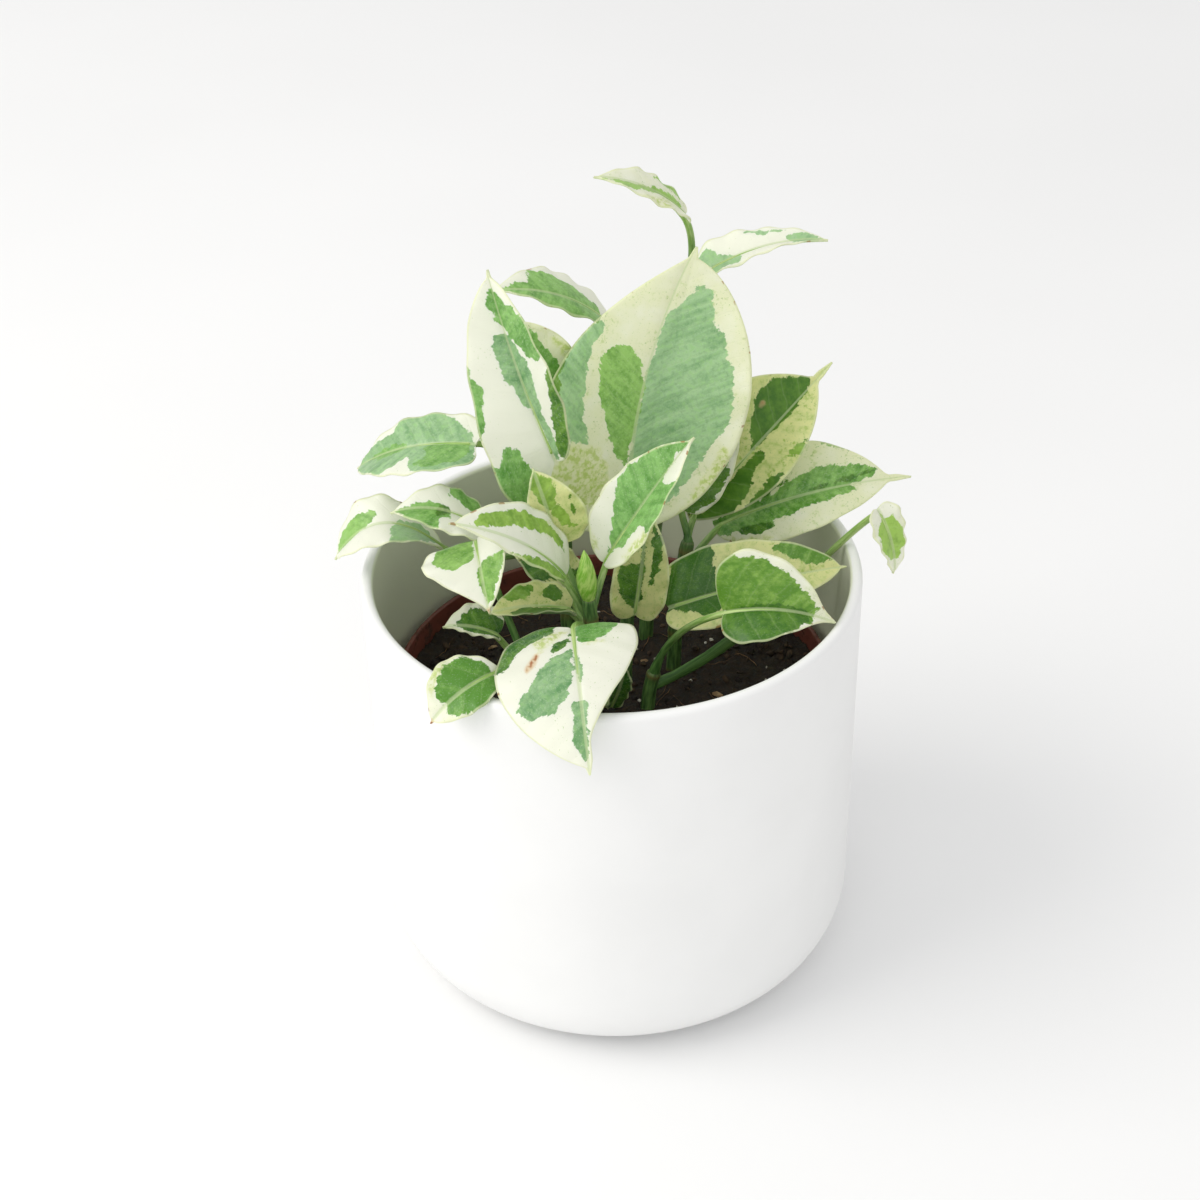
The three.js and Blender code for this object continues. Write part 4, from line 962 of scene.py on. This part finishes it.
def petiolePath(leaf, axes):
    curve = stemCurve(stems[leaf["stem"]])
    start = bezier(curve, leaf["at"])
    rising = (bezier(curve, leaf["at"]) - bezier(curve, leaf["at"] - 0.01)).normalized()
    joint = midribPoint(leaf, axes, leafShape["reach"]) - axes["up"] * leafShape["thickness"] * 0.9
    forward = (midribPoint(leaf, axes, 0.1) - midribPoint(leaf, axes, 0)).normalized()
    if leaf["via"]:
        bends = [placed(leaf["via"][0]), placed(leaf["via"][1])]
    else:
        bends = [start + rising * leaf["leave"] * mm, joint - forward * leaf["arrive"] * mm]
    rings = leafShape["petioleRings"]
    return [bezier([start, bends[0], bends[1], joint], i / (rings - 1)) for i in range(rings)]


def leafPiece(name, settings, seed, material, stalkMaterial):
    leaf = dict(leafDefaults, **settings)
    axes = leafFrame(leaf)
    bm = bmesh.new()
    layers = {tone: bm.verts.layers.float.new(tone + "Edge") for tone in tones}
    layers["flat"] = bm.verts.layers.float_vector.new("leafFlat")
    layers["rib"] = bm.verts.layers.float.new("ribSide")
    layers["under"] = bm.verts.layers.float.new("underside")
    layers["ground"] = bm.verts.layers.float.new("groundTone")
    layers["tint"] = bm.verts.layers.float_vector.new("leafTint")
    layers["margin"] = bm.verts.layers.float.new("fromMargin")
    memory = {}
    top = bladeSide(bm, leaf, axes, layers, False, seed, memory)
    bottom = bladeSide(bm, leaf, axes, layers, True, seed, memory)
    bmesh.ops.bridge_loops(bm, edges=top + bottom)
    bmesh.ops.recalc_face_normals(bm, faces=bm.faces)

    # petiole, then the rib that it becomes under the blade
    path = petiolePath(leaf, axes)
    count = len(path)
    thick = leafShape["petiole"]
    radii = [thick * (1.45 - 0.55 * min(1, i / 5) - 0.12 * i / count) for i in range(count)]
    wide = None
    if leaf["sheath"]:
        first, last, broad = leaf["sheath"]
        wide = []
        for i in range(count):
            t = (i / (count - 1) - first) / (last - first)
            wide.append(1 + (broad - 1) * math.sin(math.pi * t) ** 0.6 if 0 < t < 1 else 1)
            if 0 < t < 1:
                radii[i] *= 0.8
    for k in range(1, 19):
        u = leafShape["reach"] + leafShape["ribStep"] * k
        if u > leafShape["ribEnd"]:
            break
        centre = bladePoint(leaf, axes, u, 0, 0)[0]
        side = axes["left"] * leaf["vein"] * 4 * u * (1 - u) * mm
        width = leafShape["ribWidth"] * (1 - u) + leafShape["ribTip"]
        path.append(centre + side - axes["up"] * (leafShape["thickness"] / 2 + width * 0.25 * mm))
        radii.append(width * mm)
        if wide:
            wide.append(1)
    verts, faces = sweep(bm, path, radii, leafShape["petioleSides"], wide, axes["left"])
    for i, v in enumerate(verts):
        ring = i // leafShape["petioleSides"]
        spoke = i % leafShape["petioleSides"]
        v[layers["flat"]] = (ring * 2.0, spoke * 0.6, seed * leafShape["seedStep"])
        v[layers["under"]] = ring / len(path)
    for f in faces:
        f.material_index = 1
    piece = newPiece(name.replace("leaf_", "pothosLeaf_"), bm, [material, stalkMaterial])
    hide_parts(name)


leafColours = {
    "white": "#fbfbee", "cream": "#f1f3d0", "limeLight": "#eeefa6", "limeDark": "#a8c84c",
    "fleck": "#9dbf68", "leafLight": "#9cd17c", "leafDark": "#559838", "warmLight": "#b5d85f",
    "warmDark": "#6d9c2c", "greyAndSheenLight": "#b6d9a6", "greyAndSheenDark": "#6fa468", "deepAndShadeLight": "#79a83f",
    "deepAndShadeDark": "#2c681f", "spot": "#b06a3c", "spotRim": "#e6c593", "rib": "#d7e6b2", "under": "#c3d8a6",
    "margin": "#eef2c6", "scorch": "#a9783a", "frost": "#deedd0",
}


def variegatedPothosLeaf():
    # living pothos leaf: satin and slightly waxy, flat patches of green on cream with brushed edges,
    # fine green flecks in the cream, a pale midrib and soft quilting between the side veins
    c = {k: linear(v) for k, v in leafColours.items()}
    material, node = startMaterial("variegatedPothosLeaf")
    flat = node("vector", attribute_name="leafFlat")
    x, _, seed = node("split", flat)
    rib = node("number", attribute_name="ribSide")
    margin = node("number", attribute_name="fromMargin")
    ground = node("number", attribute_name="groundTone")
    freshAndLit, warm, _ = node("split", node("vector", attribute_name="leafTint"))
    off = node("positive", rib)
    # along and across the side veins, which leave the midrib at about 40 degrees
    alongVein = node("plus", node("times", x, 0.64), node("times", off, 0.77))
    acrossVein = node("minus", node("times", x, 0.8), node("times", off, 0.6))
    brush = node("join", node("times", alongVein, 0.16), acrossVein, seed)
    wander = node("noise", flat, 0.32, 2.0, 0.55)  # 3 mm wander of a patch's edge
    fray = node("noise", brush, 0.75, 3.0, 0.6)  # 1.3 mm wide brush ends along the veins
    crisp = node("noise", flat, 1.9, 2.0, 0.55)  # 0.5 mm cell edges
    streaks = node("noise", brush, 0.42, 3.0, 0.6)  # 2 mm streaks inside the green
    mottle = node("noise", flat, 0.7, 5.0, 0.6)  # 1.5 mm mottling with finer grain in it
    cloud = node("noise", flat, 0.13, 3.0, 0.55)  # 8 mm clouds
    flecks = node("noise", flat, 1.7, 3.0, 0.75)  # 0.6 mm flecks
    grains = node("noise", flat, 2.4, 2.0, 0.7)  # 0.4 mm silvery grains
    cells = node("noise", flat, 5.0, 2.0, 0.55)  # 0.2 mm leaf cells
    marble = node("plus", node("times", streaks, 0.5), node("times", mottle, 0.5))
    warp = node("plus", node("timesPlus", wander, 2.6, -1.3), node("timesPlus", fray, 2.4, -1.2))
    warp = node("plus", warp, node("timesPlus", crisp, 0.8, -0.4))  # each is centred on 0

    def patch(name, soft=0.14, pull=1.0):
        inside = node("number", attribute_name=name + "Edge")
        return node("ramp", node("plus", inside, node("times", warp, pull)), -soft, soft)

    # pale ground: white to cream to lime, with flecks and smudges
    creamy = node("ramp", node("plus", ground, node("timesPlus", cloud, 0.9, -0.45)), 0.15, 0.75)
    colour = node("mix", creamy, c["white"], c["cream"])
    limePatch = node("times", patch("lime", 0.9), node("ramp", mottle, 0.4, 0.58, 0.25, 1.0))
    lime = node("most", node("ramp", ground, 0.65, 1.0), limePatch)
    limeDepth = node("most", node("ramp", marble, 0.42, 0.78), node("times", limePatch, 0.6))
    limeColour = node("mix", limeDepth, c["limeLight"], c["limeDark"])
    colour = node("mix", node("times", lime, 0.85), colour, limeColour)
    smudge = node("times", node("ramp", mottle, 0.54, 0.66), node("ramp", cloud, 0.42, 0.62))
    colour = node("mix", node("times", node("times", smudge, ground), 0.65), colour, c["limeDark"])
    dense = node("plus", node("times", node("ramp", cloud, 0.5, 0.7), 0.05), node("times", ground, 0.07))
    dense = node("plus", dense, node("times", lime, -0.03))
    fleck = node("ramp", node("plus", flecks, dense), 0.675, 0.725)
    colour = node("mix", node("times", fleck, 0.75), colour, c["fleck"])

    # greens: each leaf has its own warmth, and a lightness that is partly its freshness and partly painted
    # light or shade where it stands
    tone = node("plus", node("ramp", marble, 0.3, 0.7), node("minus", freshAndLit, 0.5))
    tone = node("most", node("least", node("plus", tone, node("timesPlus", cloud, 0.9, -0.45)), 1.0), 0.0)
    cool = node("mix", tone, c["leafDark"], c["leafLight"])
    sunny = node("mix", tone, c["warmDark"], c["warmLight"])
    # grey patches: grey-green, partly the leaf's own tone and partly painted sheen of the bright room on the
    # lit satin
    sheenGrey = node("mix", tone, c["greyAndSheenDark"], c["greyAndSheenLight"])
    sheenGrey = node("mix", node("times", node("ramp", mottle, 0.48, 0.62), 0.4), sheenGrey, cool)
    # dark green patches; on the shaded leaves and at the curled edge of the tall centre leaf they are painted
    # shade
    dark = node("mix", tone, c["deepAndShadeDark"], c["deepAndShadeLight"])
    dark = node("mix", node("times", warm, 0.45), dark, c["warmDark"])
    greyAndSheen, leafy, deepAndShade = patch("greyAndSheen"), patch("leaf"), patch("deepAndShade")
    colour = node("mix", greyAndSheen, colour, sheenGrey)
    colour = node("mix", leafy, colour, node("mix", warm, cool, sunny))
    colour = node("mix", deepAndShade, colour, dark)
    green = node("most", node("most", greyAndSheen, leafy), deepAndShade)
    frost = node("times", node("times", node("ramp", grains, 0.56, 0.66), 0.3), node("minus", 1.0, warm))
    colour = node("mix", node("times", frost, green), colour, c["frost"])

    # side veins: thin paler lines on the green, and the pale midrib
    phase = node("over", node("minus", x, node("times", off, leafShape["veinSlant"])), leafShape["veinEvery"])
    phase = node("fraction", node("plus", phase, node("timesPlus", wander, 0.35, -0.175)))
    sideVein = node("ramp", node("positive", node("minus", phase, 0.5)), 0.42, 0.5)
    colour = node("mix", node("times", node("times", sideVein, green), 0.09), colour, c["rib"])
    ribWidth = node("ramp", x, 0.0, 60.0, 0.75, 0.3)
    midrib = node("ramp", node("over", off, ribWidth), 1.1, 0.55)
    colour = node("mix", node("times", midrib, 0.55), colour, c["rib"])

    # pale hem, brown nicks at the margin, brown spots, and a duller underside
    colour = node("mix", node("times", node("ramp", margin, 0.75, 0.3), 0.6), colour, c["margin"])
    scorch = node("times", node("ramp", margin, 0.8, 0.2), node("ramp", wander, 0.66, 0.7))
    colour = node("mix", node("times", scorch, 0.8), colour, c["scorch"])
    colour = node("mix", node("times", patch("spot", 0.5, 0.25), 0.8), colour, c["spotRim"])
    colour = node("mix", node("ramp", node("number", attribute_name="spotEdge"), 0.1, 0.6), colour, c["spot"])
    below = node("number", attribute_name="underside")
    colour = node("mix", node("times", below, 0.3), colour, c["under"])

    height = node("plus", node("times", cells, 0.1), node("times", marble, 0.5))
    height = node("minus", height, node("times", sideVein, 0.22))
    bump = node("bump", height, 0.5, 0.22 * mm)
    rough = node("plus", node("ramp", below, 0.0, 1.0, 0.31, 0.6), node("timesPlus", marble, 0.2, -0.1))
    shader = node("solid", colour, rough, bump, 1.45, 0.08, 0.4)
    glow = node("glow", colour, bump)
    both = node("both", 0.28, shader, glow)
    node("surface", both)
    return material


def paleGreenPetiole():
    # leaf stalk: waxy yellow-green, paler towards the blade, with lengthwise streaks
    material, node = startMaterial("paleGreenPetiole")
    flat = node("vector", attribute_name="leafFlat")
    stretched = node("stretch", flat, (0.1, 1.0, 1.0))
    streak = node("noise", stretched, 1.1, 3.0, 0.55)
    share = node("number", attribute_name="underside")
    low = node("mix", node("ramp", streak, 0.35, 0.65), linear("#3f6a30"), linear("#6b9650"))
    high = node("mix", node("ramp", streak, 0.35, 0.65), linear("#8fbb58"), linear("#c6dc90"))
    colour = node("mix", node("ramp", share, 0.1, 0.6), low, high)
    bump = node("bump", streak, 0.2, 0.1 * mm)
    shader = node("solid", colour, 0.4, bump)
    glow = node("glow", colour)
    both = node("both", 0.15, shader, glow)
    node("surface", both)
    return material


leafGreen, stalkGreen = variegatedPothosLeaf(), paleGreenPetiole()
for number, (leafName, leafSettings) in enumerate(leaves.items()):
    leafPiece(leafName, leafSettings, number, leafGreen, stalkGreen)
print("leaves made")


spear = {"radius": 2.6 * mm, "end": 1.6 * mm, "length": 16 * mm, "rings": 30, "sides": 20,
         "widestAt": 0.35, "overlap": 0.5 * mm, "dark": "#84c23c", "light": "#c6e57f", "roughness": 0.35}


def rolledLeafSkin():
    # a leaf still rolled up: light fresh green, shiny, with the overlap running round it
    material, node = startMaterial("rolledNewLeaf")
    flat = node("vector", attribute_name="leafFlat")
    stretched = node("stretch", flat, (1.0, 0.25, 1.0))
    streak = node("noise", stretched, 1.2, 3.0, 0.55)
    colour = node("mix", node("ramp", streak, 0.35, 0.65), linear(spear["dark"]), linear(spear["light"]))
    bump = node("bump", streak, 0.25, 0.15 * mm)
    shader = node("solid", colour, spear["roughness"], bump)
    glow = node("glow", colour)
    both = node("both", 0.2, shader, glow)
    node("surface", both)
    return material


def spearPiece():
    curve = stemCurve(stems["front"])
    foot = bezier(curve, 1)
    forward = (foot - bezier(curve, 0.98)).normalized()
    rings = spear["rings"]
    path, radii = [], []
    for i in range(rings):
        t = i / (rings - 1)
        path.append(foot + forward * (0.3 * mm + spear["length"] * t))
        if t < spear["widestAt"]:
            swell = math.sin(math.pi / 2 * t / spear["widestAt"])
            radii.append(spear["end"] + (spear["radius"] - spear["end"]) * swell)
        else:
            narrow = math.cos(math.pi / 2 * (t - spear["widestAt"]) / (1 - spear["widestAt"])) ** 0.8
            radii.append(max(0.15 * mm, spear["radius"] * narrow))
    bm = bmesh.new()
    flat = bm.verts.layers.float_vector.new("leafFlat")
    verts, _ = sweep(bm, path, radii, spear["sides"])
    for i, v in enumerate(verts):
        ring = i // spear["sides"]
        away = v.co - path[ring]
        angle = math.atan2(away.dot(Vector((1, 0, 0))), away.dot(Vector((0, 1, 0))))
        wrap = ((angle + 3 * ring / rings) / (2 * math.pi)) % 1
        v.co += away.normalized() * (wrap - 0.5) * spear["overlap"] * math.sin(math.pi * ring / rings)
        v[flat] = (wrap * 12, ring * 0.6, 3.0)
    piece = newPiece("rolledNewLeaf", bm, [rolledLeafSkin()])
    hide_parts("leaf_spear")


spearPiece()
print("new leaf made")
